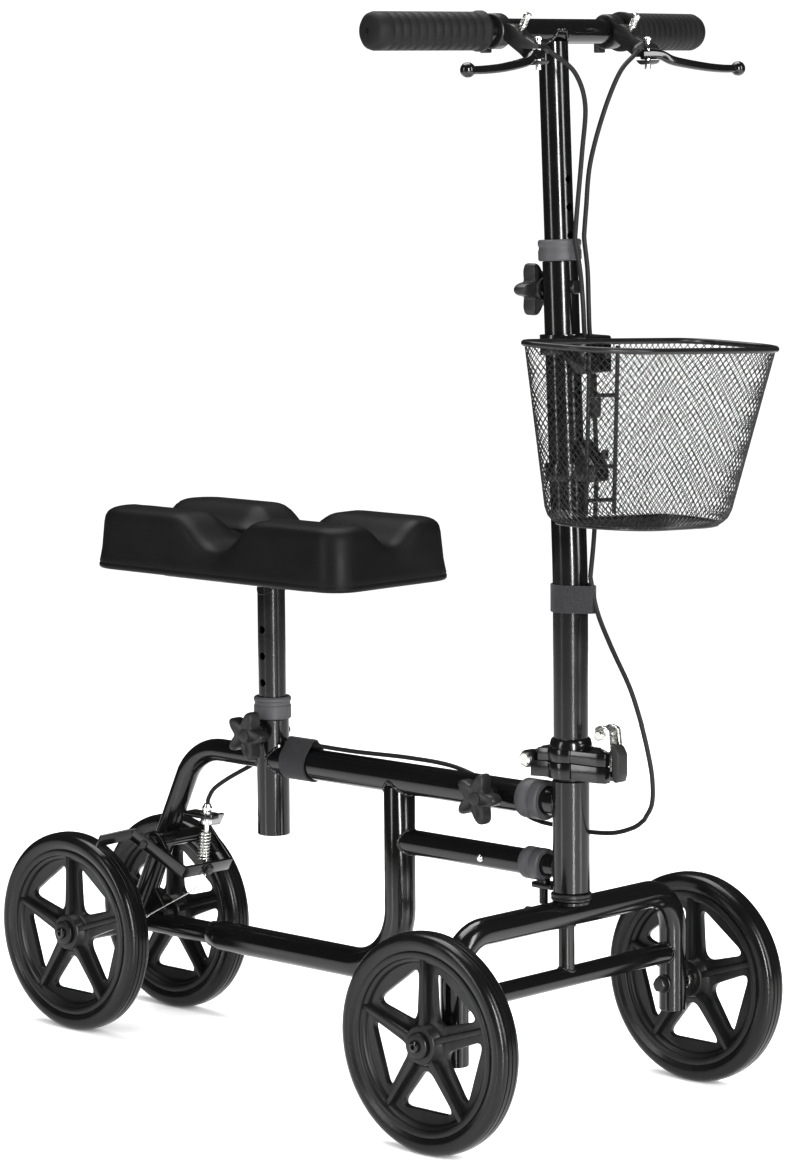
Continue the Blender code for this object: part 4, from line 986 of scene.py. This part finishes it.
def handlebar():
    low = (0, stem_y(600.0), 600.0)
    high = (0, stem_y(978.0), 978.0)
    holes = []
    for i in range(7):
        z = 706.0 + 25.0 * i
        holes.append(rod([(0, stem_y(z) - 20, z), (0, stem_y(z), z)], 3.7, 24))
    piece("bar_post", tube([low, high], POST_R, 11.3), PAINT, "handlebar", ["handlebar_post"],
          cuts=holes + [rod([(-40, BAR_Y, BAR_Z), (40, BAR_Y, BAR_Z)], 10.4)])
    weld("weld_bar", (0, BAR_Y, BAR_Z), -STEM_DIRECTION, LEFT, 12.6, 11.0, "handlebar", 1.6)
    end = Vector((213.0, BAR_Y + 18.0, BAR_Z))
    bend_out = Vector((90.5, BAR_Y + 0.8, BAR_Z))
    run = (end - bend_out).normalized()
    half = [end - run * 4, bend_out + run * 3, bend_out - Vector((3.2, 0.55, 0)),
            Vector((83.5, BAR_Y, BAR_Z))]
    path = [(-p.x, p.y, p.z) for p in half] + half[::-1]
    piece("crossbar", rod(path, 11.1), PAINT, "handlebar", ["handlebar_crossbar"])
    for sign, side in ((-1, "right"), (1, "left")):
        axis = Vector((sign * run.x, run.y, 0))
        grip(side, Vector((sign * end.x, end.y, end.z)), axis)
        brake_lever(sign, side)


def grip(side, end, axis):
    """Rubber grip: closed domed end with a small vent, shallow rings, and an inner flange."""
    length = 122.0
    profile = [(0, 3.2), (2.6, 3.2), (2.6, 4.4), (9.0, 4.2), (13.2, 3.0), (15.8, 0.6), (16.9, -3.0)]
    step = 9.0
    along = -6.0
    while along > 16 - length:
        profile += [(16.9, along), (16.9, along - step + 2.2), (16.5, along - step + 1.5),
                    (16.5, along - step + 0.7)]
        along -= step
    profile += [(16.9, along), (16.9, 6 - length), (17.9, 5 - length), (18.0, 1 - length),
                (17.2, 0.2 - length), (11.2, -length), (11.2, -3.6), (0, -3.6)]
    piece(f"grip_rubber_{side}", lathe(profile, axis, end, 72), GRIP, "handlebar", [f"grip_{side}"],
          angle=55)


def brake_lever(sign, side):
    """Cast lever bracket with its clamp, screw, parking pin and spring; swept blade with a ball."""
    clamp_x = sign * 76.0
    pivot_x, pivot_y, pivot_z = sign * 73.0, -36.0, 966.0
    band = [(11.2, -6.5), (14.6, -6.5), (15.7, -5.4), (15.7, 5.4), (14.6, 6.5), (11.2, 6.5)]
    body = lathe(band, LEFT, (clamp_x, BAR_Y, BAR_Z), 64)
    arm = rounded([(0.0, 980), (-1.0, 994), (-12, 992), (-24, 982), (-41, 974), (-44.5, 969),
                   (-43.5, 958), (-31, 956.5), (-22, 966), (-9, 974)], 4)
    ends = sorted((clamp_x - sign * 8.5, clamp_x + sign * 4.5))
    slot_ends = sorted((pivot_x - sign * 9, pivot_x + sign * 40))
    slot = block((slot_ends[0], -60, pivot_z - 5.1), (slot_ends[1], -24, pivot_z + 5.1))
    bore = rod([(clamp_x - 20, BAR_Y, BAR_Z), (clamp_x + 20, BAR_Y, BAR_Z)], 11.0)
    piece(f"lever_body_{side}", body, BLACK_STEEL, "handlebar", [f"lever_bracket_{side}"],
          joins=[prism(arm, ends[0], ends[1])], cuts=[slot, bore], bevel=0.9)
    lug = block((clamp_x - 5, BAR_Y + 8, BAR_Z - 19), (clamp_x + 5, BAR_Y + 14, BAR_Z - 6))
    piece(f"lever_clamp_lug_{side}", lug, KNOB_PLASTIC, "handlebar", bevel=1.2)
    screw_head(f"lever_clamp_screw_{side}", (clamp_x + sign * 5, BAR_Y + 11, BAR_Z - 14),
               (sign, 0, 0), 3.2, 2.6, "handlebar", ZINC, 32)
    pin = turned([(2.9, -13), (2.6, -12), (2.6, 12.5), (3.8, 12.7), (3.8, 14.6), (3.0, 15.4)],
                 UP, (pivot_x, pivot_y, pivot_z), 28)
    piece(f"lever_pivot_{side}", pin, ZINC, "handlebar")
    parking = Vector((pivot_x, -17, 990))
    lean = Vector((0, -0.5, 0.86)).normalized()
    plunger = turned([(2.0, -10), (2.0, 9), (3.4, 9.4), (3.4, 13.2), (2.6, 14)], lean, parking, 28)
    coil = []
    for i in range(96):
        a = math.tau * i / 16
        side_axis, other = across(lean)
        coil.append(parking + lean * (1 + i * 0.08) + side_axis * (3.0 * math.cos(a))
                    + other * (3.0 * math.sin(a)))
    piece(f"lever_lock_{side}", merged([plunger, rod(coil, 0.45, 8)]), ZINC, "handlebar", angle=40)
    ferrule = turned([(3.6, 0), (3.9, 1), (3.9, 7), (3.1, 10)], (-sign * 0.86, 0, -0.5),
                     (sign * 67.5, -33.5, 974), 32)
    piece(f"lever_ferrule_{side}", ferrule, KNOB_PLASTIC, "handlebar")
    blade(sign, side, Vector((pivot_x, pivot_y, pivot_z)))


def blade(sign, side, start):
    """Flat, slightly bowed lever blade that narrows to a ball."""
    ball = Vector((sign * 181.0, -52.0, 953.0))
    route = smooth_route([start - Vector((sign * 5.4, -2, 0)), start + Vector((sign * 12, -4, -0.4)),
                          start + Vector((sign * 26, -9, -6)), start + Vector((sign * 60, -14, -11)),
                          ball - Vector((sign * 20, -1.5, 0)), ball], 6)
    path = [Vector(p) for p in route]
    rings = []
    for i, point in enumerate(path):
        t = i / (len(path) - 1)
        along = (path[min(i + 1, len(path) - 1)] - path[max(i - 1, 0)]).normalized()
        up = (Vector(UP) - along * along.z).normalized()
        out = along.cross(up)
        tall = 4.6 - 1.2 * t
        thick = 3.6 - 0.8 * t
        ring = []
        for k in range(20):
            a = math.tau * k / 20
            c, s = math.cos(a), math.sin(a)
            ring.append(point + up * (tall * math.copysign(abs(c) ** 0.7, c))
                        + out * (thick * math.copysign(abs(s) ** 0.7, s)))
        rings.append(ring)
    head = [(6.6 * math.cos(math.radians(a)), 6.6 * math.sin(math.radians(a))) for a in range(-84, 90, 12)]
    knob = turned(head, UP, ball, 40)
    piece(f"lever_{side}", merged([join_rings(rings), knob]), PAINT, f"brake_lever_{side}",
          [f"lever_blade_{side}"], angle=50)


# ---------------------------------------------------------------- basket


BASKET_RIM = (127.5, -44.0, -165.5, 55.8)
BASKET_FLOOR = (93.3, -50.0, -155.7, 69.0)
RIM_Z = 712.7
FLOOR_Z = 554.3
HANG = Matrix.Translation((0, -44.0, 650.0))
TILT = (HANG @ Matrix.Rotation(math.radians(2.6), 4, "Y") @ Matrix.Rotation(math.radians(1.8), 4, "X")
        @ HANG.inverted())


def basket_outline(t, inset=0.0, count=0):
    """Plan of the wall at t of its height, as points evenly spread round it."""
    half, rear, front, corner = (a + (b - a) * t for a, b in zip(BASKET_FLOOR, BASKET_RIM))
    half, rear, front, corner = half - inset, rear - inset, front + inset, corner - inset
    small = 32.0 - inset
    points = arc((half - small, rear - small), small, 90, 0, 12)
    points += arc((half - corner, front + corner), corner, 0, -90, 24)
    points += arc((corner - half, front + corner), corner, -90, -180, 24)
    points += arc((small - half, rear - small), small, 180, 90, 12)
    if not count:
        return points
    return spread_evenly(points, count)


def ring_of(t, z, inset, count=160):
    return [TILT @ Vector((x, y, z)) for x, y in basket_outline(t, inset, count)]


def diamond_net(grid, thickness, name):
    """Wire along the diamonds of a grid of points: rows up, closed round."""
    mesh_verts = []
    index = {}
    rows = len(grid)
    count = len(grid[0])
    for r in range(rows):
        for k in range(count):
            if (r + k) % 2 == 0:
                index[r, k] = len(mesh_verts)
                mesh_verts.append(grid[r][k])
    faces = []
    for r in range(rows):
        for k in range(count):
            if (r + k) % 2 == 0:
                continue
            corners = [(r - 1, k), (r, (k + 1) % count), (r + 1, k), (r, (k - 1) % count)]
            found = [index[c] for c in corners if c in index]
            if len(found) >= 3:
                faces.append(tuple(found))
    return wire_piece(name, (mesh_verts, faces), thickness)


def wire_piece(name, shape, thickness, body="stem"):
    made = add_object(name, mesh_of(name, shape))
    wires = made.modifiers.new("wires", "WIREFRAME")
    wires.thickness = thickness * MM
    wires.use_even_offset = False
    wires.use_replace = True
    wires.use_boundary = True
    settle(made)
    made.data.materials.clear()
    made.data.materials.append(WIRE_BLACK)
    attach(made, body)
    return made


def basket():
    columns = 176
    rows = 40
    grid = []
    for inset, rise in ((13.0, 0.6), (8.0, 1.6), (4.2, 4.4)):
        grid.append(ring_of(0.0, FLOOR_Z + rise, inset, columns))
    for r in range(rows + 1):
        t = 0.05 + 0.95 * r / rows
        grid.append(ring_of(t, FLOOR_Z + (RIM_Z - FLOOR_Z) * t, 0.6 if r > 1 else 2.2 - 0.9 * r, columns))
    wall = diamond_net(grid, 1.0, "basket_mesh_wall")
    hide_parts("basket")
    basket_floor()
    loop = ring_of(1.0, RIM_Z, 0.0, 200)
    rim_wire("basket_rim_wire", loop, 2.7)
    rim_wire("basket_floor_wire", ring_of(0.0, FLOOR_Z + 1.6, 9.0, 200), 1.6)
    back_frame()


def basket_floor():
    """Floor mesh: diamonds clipped to the basket's plan."""
    outline = basket_outline(0.0, 9.0)
    step_x, step_y = 5.2, 4.2
    inside = lambda x, y: point_inside(x, y, outline)
    points = {}
    verts = []
    faces = []
    for i in range(-20, 21):
        for k in range(0, 32):
            if (i + k) % 2:
                continue
            x, y = i * step_x, BASKET_FLOOR[1] - k * step_y
            if inside(x, y):
                points[i, k] = len(verts)
                verts.append(TILT @ Vector((x, y, FLOOR_Z + 1.4)))
    for i in range(-20, 21):
        for k in range(0, 32):
            corners = [(i - 1, k), (i, k + 1), (i + 1, k), (i, k - 1)]
            found = [points[c] for c in corners if c in points]
            if (i + k) % 2 and len(found) >= 3:
                faces.append(tuple(found))
    wire_piece("basket_mesh_floor", (verts, faces), 0.95)


def point_inside(x, y, outline):
    hit = False
    for (ax, ay), (bx, by) in zip(outline, outline[1:] + outline[:1]):
        if (ay > y) != (by > y) and x < (bx - ax) * (y - ay) / (by - ay) + ax:
            hit = not hit
    return hit


def rim_wire(name, loop, radius):
    """A round wire along a closed loop of points."""
    rings = []
    count = len(loop)
    for i, point in enumerate(loop):
        along = (loop[(i + 1) % count] - loop[i - 1]).normalized()
        out = along.cross(Vector(UP)).normalized()
        up = out.cross(along)
        rings.append([point + out * (radius * math.cos(t)) + up * (radius * math.sin(t))
                      for t in (math.tau * k / 12 for k in range(12))])
    piece(name, join_rings(rings, closed_ends=False, loop=True), WIRE_BLACK, "stem", angle=80)


def back_frame():
    """Wire ladder on the basket's back and the bracket that holds it to the stem."""
    def back(x, z, off=1.6):
        t = (z - FLOOR_Z) / (RIM_Z - FLOOR_Z)
        rear = BASKET_FLOOR[1] + (BASKET_RIM[1] - BASKET_FLOOR[1]) * t
        return TILT @ Vector((x, rear + off, z))
    for name, x in (("right", -19), ("left", 19)):
        path = [back(x, FLOOR_Z + 4), back(x, FLOOR_Z + 60), back(x, RIM_Z - 4)]
        piece(f"basket_upright_{name}", rod(path, 1.9, 16), WIRE_BLACK, "stem")
    for i, z in enumerate((571.0, 601.0, 664.5)):
        path = [back(-20, z), back(20, z)]
        piece(f"basket_rail_{i}", rod(path, 1.9, 16), WIRE_BLACK, "stem")
    cut = rod([(0, stem_y(560), 560), (0, stem_y(760), 760)], STEM_R + 0.1)
    upper = rod([(0, stem_y(z), z) for z in (699.5, 717.5)], 20.5)
    front_top = BASKET_RIM[1] + 3.4
    plate = rounded([(-12, 717.5), (front_top, 717.0), (front_top, 684), (-30, 684), (-14, 700)], 3)
    piece("bracket_upper", upper, PAINT, "stem", ["basket_bracket"],
          joins=[prism(plate, -17, 17)], cuts=[cut, block((-5, -28.5, 676), (14, -19.5, 724))], bevel=0.8)
    lower = rod([(0, stem_y(z), z) for z in (586.2, 601.8)], 19.5)
    arm = rounded([(-14, 587), (-44.6, 587), (-43.8, 602), (-24, 624), (-14, 622)], 3)
    piece("bracket_lower", lower, PAINT, "stem", joins=[prism(arm, -9, 9)], cuts=[cut], bevel=0.8)
    for i, (x, z) in enumerate(((0, 702), (0, 612))):
        place = back(x, z, -1.2)
        screw_head(f"basket_screw_{i}", place, (0, -1, 0), 4.6, 3.0, "stem", BLACK_STEEL, 32)
    for i, z in enumerate((708.5, 594)):
        screw_head(f"band_screw_{i}", (0, stem_y(z) + 20.0, z), BACK, 4.2, 3.0, "stem",
                   BLACK_STEEL, 32)


# ---------------------------------------------------------------- seat


def seat():
    holes = []
    for i in range(7):
        z = 262.0 + 26.0 * i
        holes.append(rod([(-20, SEAT_Y, z), (0, SEAT_Y, z)], 3.7, 24))
    piece("seat_stalk", tube([(0, SEAT_Y, 240), (0, SEAT_Y, 467)], 13.4, 11.3), PAINT, "seat",
          ["seat_post"], cuts=holes)
    plan = rounded([(-50, SEAT_Y - 105), (50, SEAT_Y - 105), (50, SEAT_Y + 105), (-50, SEAT_Y + 105)], 12)
    piece("seat_plate", prism(plan, 466.2, 471.5, "XY"), PAINT, "seat", bevel=0.8)
    for i, (x, y) in enumerate(((-30, -85), (30, -85), (-30, 85), (30, 85))):
        screw_head(f"seat_screw_{i}", (x, SEAT_Y + y, 466.4), (0, 0, -1), 5.0, 1.2, "seat", None, 32)
    weld("weld_seat_plate", (0, SEAT_Y, 466.0), (0, 0, -1), LEFT, 13.4, 13.5, "seat", 0.5)
    knee_pad()


def pad_top(x, y):
    """Height of the pad's top: four lobes parted by a long and a cross channel."""
    lane = dip(x, 40.0)
    saddle = dip(y, 62.0)
    return PAD_HIGH.z - 0.6 - 30.0 * (1 - (1 - 0.66 * lane) * (1 - saddle))


def dip(distance, reach):
    """A smooth valley: 1 in the middle, 0 from its reach outwards."""
    t = max(0.0, 1 - abs(distance) / reach)
    return t ** 3 * (t * (6 * t - 15) + 10)


def knee_pad():
    """Moulded foam pad, drafted sides, rounded corners, thin parting line near the base."""
    half_x = (PAD_HIGH.x - PAD_LOW.x) / 2
    half_y = (PAD_HIGH.y - PAD_LOW.y) / 2
    low = PAD_LOW.z

    def outline(inset, corner):
        points = []
        hx, hy, c = half_x - inset, half_y - inset, corner
        for cx, cy, start in ((hx - c, hy - c, 0), (c - hx, hy - c, 90), (c - hx, c - hy, 180),
                              (hx - c, c - hy, 270)):
            points += arc((cx, cy), c, start, start + 90, 12)
        return spread_evenly(points, 160)

    rings = []

    def wall(inset, z, corner=26.0):
        rings.append([Vector((p.x, SEAT_Y + 0.5 + p.y, z)) for p in outline(inset, corner)])

    def crown(inset, drop, corner):
        ring = []
        for p in outline(inset, corner):
            ring.append(Vector((p.x, SEAT_Y + 0.5 + p.y, pad_top(p.x, p.y) - drop)))
        rings.append(ring)
    for inset, rise in ((3.0, 0), (1.0, 0.5), (0.1, 2.0), (0.1, 5.0), (0.7, 5.6), (0.7, 6.4),
                        (0.3, 7.2), (1.3, 13.0), (2.2, 18.0)):
        wall(inset, low + rise)
    for inset, drop, corner in ((4.6, 12.0, 25), (5.4, 8.6, 24.6), (6.8, 5.6, 24), (9.0, 3.2, 23),
                                (12.0, 1.4, 22), (15.6, 0.4, 20), (19.6, 0.0, 18)):
        crown(inset, drop, corner)
    for i in range(1, 17):
        inset = 19.6 + i * (half_x - 21.0) / 17
        crown(inset, 0.0, max(2.0, 18.0 - 1.05 * i))
    shape = join_rings(rings)
    pad = piece("knee_pad_foam", shape, FOAM, "seat", ["knee_pad"], angle=70)
    soften = pad.modifiers.new("soften", "SMOOTH")
    soften.factor = 0.4
    soften.iterations = 2
    settle(pad)
    for polygon in pad.data.polygons:
        polygon.use_smooth = True


# ---------------------------------------------------------------- rear brake


def ribbon(path, width_axis, half_width, thickness):
    path = [Vector(p) for p in path]
    width_axis = Vector(width_axis)
    rings = []
    for i, point in enumerate(path):
        before = (point - path[i - 1]).normalized() if i else (path[1] - point).normalized()
        after = (path[i + 1] - point).normalized() if i + 1 < len(path) else before
        normal = (before + after).cross(width_axis).normalized()
        stretch = 1 / max(0.5, normal.dot(before.cross(width_axis).normalized()))
        inner = point + normal * thickness * stretch
        rings.append([point - width_axis * half_width, point + width_axis * half_width,
                      inner + width_axis * half_width, inner - width_axis * half_width])
    return join_rings(rings)


def brake():
    half = [(84.0, 546.0, 200.5), (46.0, 536.0, 204.0), (30.0, 480.0, 170.0)]
    path = [Vector((-x, y, z)) for x, y, z in half] + [Vector(p) for p in half[::-1]]
    upright_axis = Vector((0, -0.52, 0.85)).normalized()
    ears = []
    for sign in (-1, 1):
        ends = sorted((sign * 30.5, sign * 34.0))
        ear = rounded([(BRAKE_PIVOT[1] + y, BRAKE_PIVOT[2] + z) for y, z in
                       ((-24, -16), (-14, -20), (0, -9), (9, -3), (9, 6), (2, 10), (-8, 7))], 3)
        ears.append(prism(ear, ends[0], ends[1]))
    piece("brake_hat_bar", ribbon(path, upright_axis, 7.0, 3.0), PAINT, "brake", ["brake_bar"],
          joins=ears, bevel=0.6)
    for sign, side in ((-1, "right"), (1, "left")):
        place = Vector((sign * 41, 521, 194)) + Vector((sign * 3.4, 0, 0))
        screw_head(f"brake_arm_bolt_{side}", place, (sign, -0.3, 0), 4.4, 3.0, "brake")
    pinch = Vector((0, 477.0, 169.0))
    washer("pinch_washer", pinch + Vector((0, 1.2, 0.6)), (0, -0.85, -0.52), 6.4, 1.6, "brake")
    screw_head("pinch_bolt", pinch, (0, -0.85, -0.52), 5.6, 5.0, "brake")
    plate = rounded([(-9, 503), (-9, 470), (-5, 464), (5, 464), (9, 470), (9, 503)], 3)
    piece("cable_stop", prism(plate, 220.2, 224.8, "XY"), PAINT, "frame", ["cable_stop_plate"],
          cuts=[rod([(0, 478.6, 200), (0, 475.2, 240)], 5.3, 32)], bevel=0.5)
    axis = Vector((0, -0.1, 1)).normalized()
    base = (0, 476.8, 222.5)
    barrel = [(2.4, -20.0), (2.4, -9.4), (4.4, -9.0), (5.2, -8.2), (5.2, -4.2), (4.2, -3.8),
              (4.2, -2.6), (6.9, -2.4), (6.9, 2.6), (4.6, 3.0), (4.6, 5.2), (5.2, 5.6), (5.2, 8.4),
              (4.0, 10.0), (3.4, 12.0)]
    piece("barrel_adjuster", turned(barrel, axis, base, 24), ZINC, "frame", ["cable_adjuster"],
          bevel=0.2, angle=25)
    spring_coil()
    tail = [(-2, 476, 166), (-4, 480, 158), (-7, 490, 147), (-16, 512, 133), (-28, 533, 119)]
    piece("inner_wire_tail", rod(smooth_route(tail, 6), 0.8, 10), ZINC, "brake")
    crimp = turned([(1.2, 0), (1.4, 1), (1.4, 7), (1.0, 8)], (-0.35, 0.66, -0.5), tail[-1], 16)
    piece("wire_crimp", crimp, ZINC, "brake")


def spring_coil():
    low = Vector((0, 483.0, 178.0))
    high = Vector((0, 479.6, 206.0))
    axis = (high - low).normalized()
    side, other = across(axis)
    coil = []
    turns = 9
    for i in range(turns * 20 + 1):
        a = math.tau * i / 20
        t = i / (turns * 20)
        coil.append(low.lerp(high, t) + side * (5.2 * math.cos(a)) + other * (5.2 * math.sin(a)))
    made = piece("return_spring", rod(coil, 0.85, 10), ZINC, None, ["brake_spring"], angle=60)
    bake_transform(made)
    core = piece("inner_wire", rod([(0, 478.5, 172), (0, 478.8, 205)], 0.9, 12), ZINC, None)
    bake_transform(core)


# ---------------------------------------------------------------- cables


CABLE_R = 2.1
CABLES = {
    "lever_cable_right": [
        (-64.4, -33.5, 973), (-54, -37, 966), (-30, -40, 950), (-12, -36, 922), (-5, -26, 880),
        (-5, -20, 830), (-5, -17.5, 806)],
    "lever_cable_left": [
        (64.4, -33.5, 973), (54, -37, 966), (30, -40, 950), (14, -35, 915), (7, -25, 870),
        (7, -20, 830), (7, -17.5, 806)],
    "stem_cable_upper": [
        (-5, -17.5, 808), (-5, -18, 800), (-3.5, -22, 775), (-2, -24, 745), (0, -24, 718),
        (6, -24, 685), (17, -20, 655), (19, -21, 595), (9, -27, 540), (0, -30, 500)],
    "stem_cable_second": [
        (7, -17.5, 808), (7, -18, 800), (6.5, -22, 775), (5.5, -24, 745), (7, -24, 718),
        (13, -23.5, 685), (19.5, -19, 660)],
    "stem_cable_lower": [
        (0, -30, 500), (0, -38, 470), (-2, -56, 440), (-4, -80, 405), (-4, -93, 375),
        (-3.9, -93.7, 371)],
    "hinge_cable": [(-4, -93.3, 374), (-2, -99, 350), (2, -101, 325), (10, -94, 300), (18, -78, 282)],
    "head_cable": [(18.3, -77.4, 281.6), (24, -60, 272), (25, -35, 264), (22, -5, 262),
                   (18, 20, 264), (14, 40, 266)],
    "beam_cable": [
        (13.8, 41, 266), (16, 60, 269), (21, 78, 276), (20, 110, 292), (12, 150, 306),
        (4, 200, 310), (0, 270, 309), (0, 330, 309.5), (16, 360, 307), (22, 382, 300),
        (18, 405, 290), (14, 426, 277), (7, 450, 263), (1, 466, 251), (0, 473.5, 241),
        (0, 475.4, 235.6)],
}


def cable(name, replaces, body=None):
    shape = rod(smooth_route(CABLES[name]), CABLE_R, 20)
    return piece(f"{name}_sheath", shape, SHEATH, body, replaces, angle=60)


def cables():
    for side in ("right", "left"):
        made = cable(f"lever_cable_{side}", [f"lever_cable_{side}"])
        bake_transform(made)
    cable("stem_cable_upper", ["stem_cable"], "stem")
    cable("stem_cable_second", (), "stem")
    lower = cable("stem_cable_lower", ())
    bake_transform(lower)
    bottom = cable("hinge_cable", ["hinge_cable"])
    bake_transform(bottom)
    head = cable("head_cable", ["head_cable"])
    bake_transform(head)
    cable("beam_cable", ["beam_cable"], "frame")
    joiner = turned([(3.6, -11), (5.6, -9), (6.0, 8), (5.0, 11)], UP, (18.4, -19.6, 653), 40)
    piece("cable_joiner", joiner, KNOB_PLASTIC, "stem", bevel=0.4)
    beam_strap()


def beam_strap():
    outline = strap_outline((0, BEAM_Z), BEAM_R, (0, BEAM_Z + 19.2))
    strap_band("beam_strap", (0, 340, 0), BACK, 34, outline, "frame")


# ---------------------------------------------------------------- stage, light and camera


def stage():
    look = Look("pale_floor", (0.95, 0.95, 0.95), 0.2, Specular_IOR_Level=0.3)
    look.set("Emission Color", (1, 1, 1, 1))
    look.set("Emission Strength", 0.12)
    look.vary_roughness(look.noise(2, 2), 0.18, 0.22)
    mesh = bpy.data.meshes.new("floor")
    size = 2.9
    rim = [(size * math.cos(math.tau * i / 96), size * math.sin(math.tau * i / 96), 0) for i in range(96)]
    mesh.from_pydata(rim, [], [tuple(range(96))])
    floor = add_object("floor", mesh)
    mesh.materials.append(look.material)
    world_look = bpy.data.worlds.new("studio")
    bpy.context.scene.world = world_look
    world_look.use_nodes = True
    nodes = world_look.node_tree.nodes
    links = world_look.node_tree.links
    dim = nodes["Background"]
    dim.inputs["Color"].default_value = (1, 1, 1, 1)
    dim.inputs["Strength"].default_value = 0.07
    bright = nodes.new("ShaderNodeBackground")
    bright.inputs["Color"].default_value = (1, 1, 1, 1)
    bright.inputs["Strength"].default_value = 1.06
    rays = nodes.new("ShaderNodeLightPath")
    mix = nodes.new("ShaderNodeMixShader")
    links.new(rays.outputs["Is Glossy Ray"], mix.inputs["Fac"])
    links.new(bright.outputs["Background"], mix.inputs[1])
    links.new(dim.outputs["Background"], mix.inputs[2])
    links.new(mix.outputs["Shader"], nodes["World Output"].inputs["Surface"])


def area_light(name, place, target, size, power):
    data = bpy.data.lights.new(name, "AREA")
    data.shape = "RECTANGLE"
    data.size, data.size_y = size
    data.energy = power
    lamp = add_object(name, data)
    lamp.location = place
    lamp.rotation_euler = (Vector(target) - Vector(place)).to_track_quat("-Z", "Y").to_euler()


def lights():
    middle = (0, 0, 0.5)
    area_light("key", (0.7, -3.2, 1.5), middle, (0.7, 2.6), 95)
    area_light("side", (-3.3, 0.9, 1.5), middle, (0.6, 2.6), 60)
    area_light("strip", (-1.75, -3.0, 1.2), middle, (0.5, 2.2), 190)
    area_light("top", (0.3, 0.6, 3.2), middle, (2.4, 2.4), 150)


def camera():
    """Long lens, seen from the rider's right front, a little from above."""
    data = bpy.data.cameras.new("camera")
    data.sensor_fit = "HORIZONTAL"
    data.sensor_width = 36.0
    data.lens = 187.2
    data.clip_end = 100
    turn, pitch, roll = math.radians(45.92), math.radians(6.963), math.radians(-0.49)
    forward = Vector((math.sin(turn) * math.cos(pitch), math.cos(turn) * math.cos(pitch),
                      -math.sin(pitch)))
    right = Vector((math.cos(turn), -math.sin(turn), 0))
    up = right.cross(forward)
    rolled_right = right * math.cos(roll) + up * math.sin(roll)
    rolled_up = up * math.cos(roll) - right * math.sin(roll)
    view = add_object("camera", data)
    matrix = Matrix((rolled_right, rolled_up, -forward)).transposed().to_4x4()
    matrix.translation = Vector((-2.743, AXLE_Y - 2.4394, 0.9431))
    view.matrix_world = matrix
    bpy.context.scene.camera = view


def build():
    stage()
    lights()
    camera()
    frame_tubes()
    tube_collars()
    knobs()
    wheels_and_axles()
    front_frame()
    steering()
    hinge()
    stem()
    handlebar()
    basket()
    seat()
    brake()
    cables()


build()
bpy.context.scene.view_settings.view_transform = "Standard"
bpy.context.scene.view_settings.gamma = 0.85
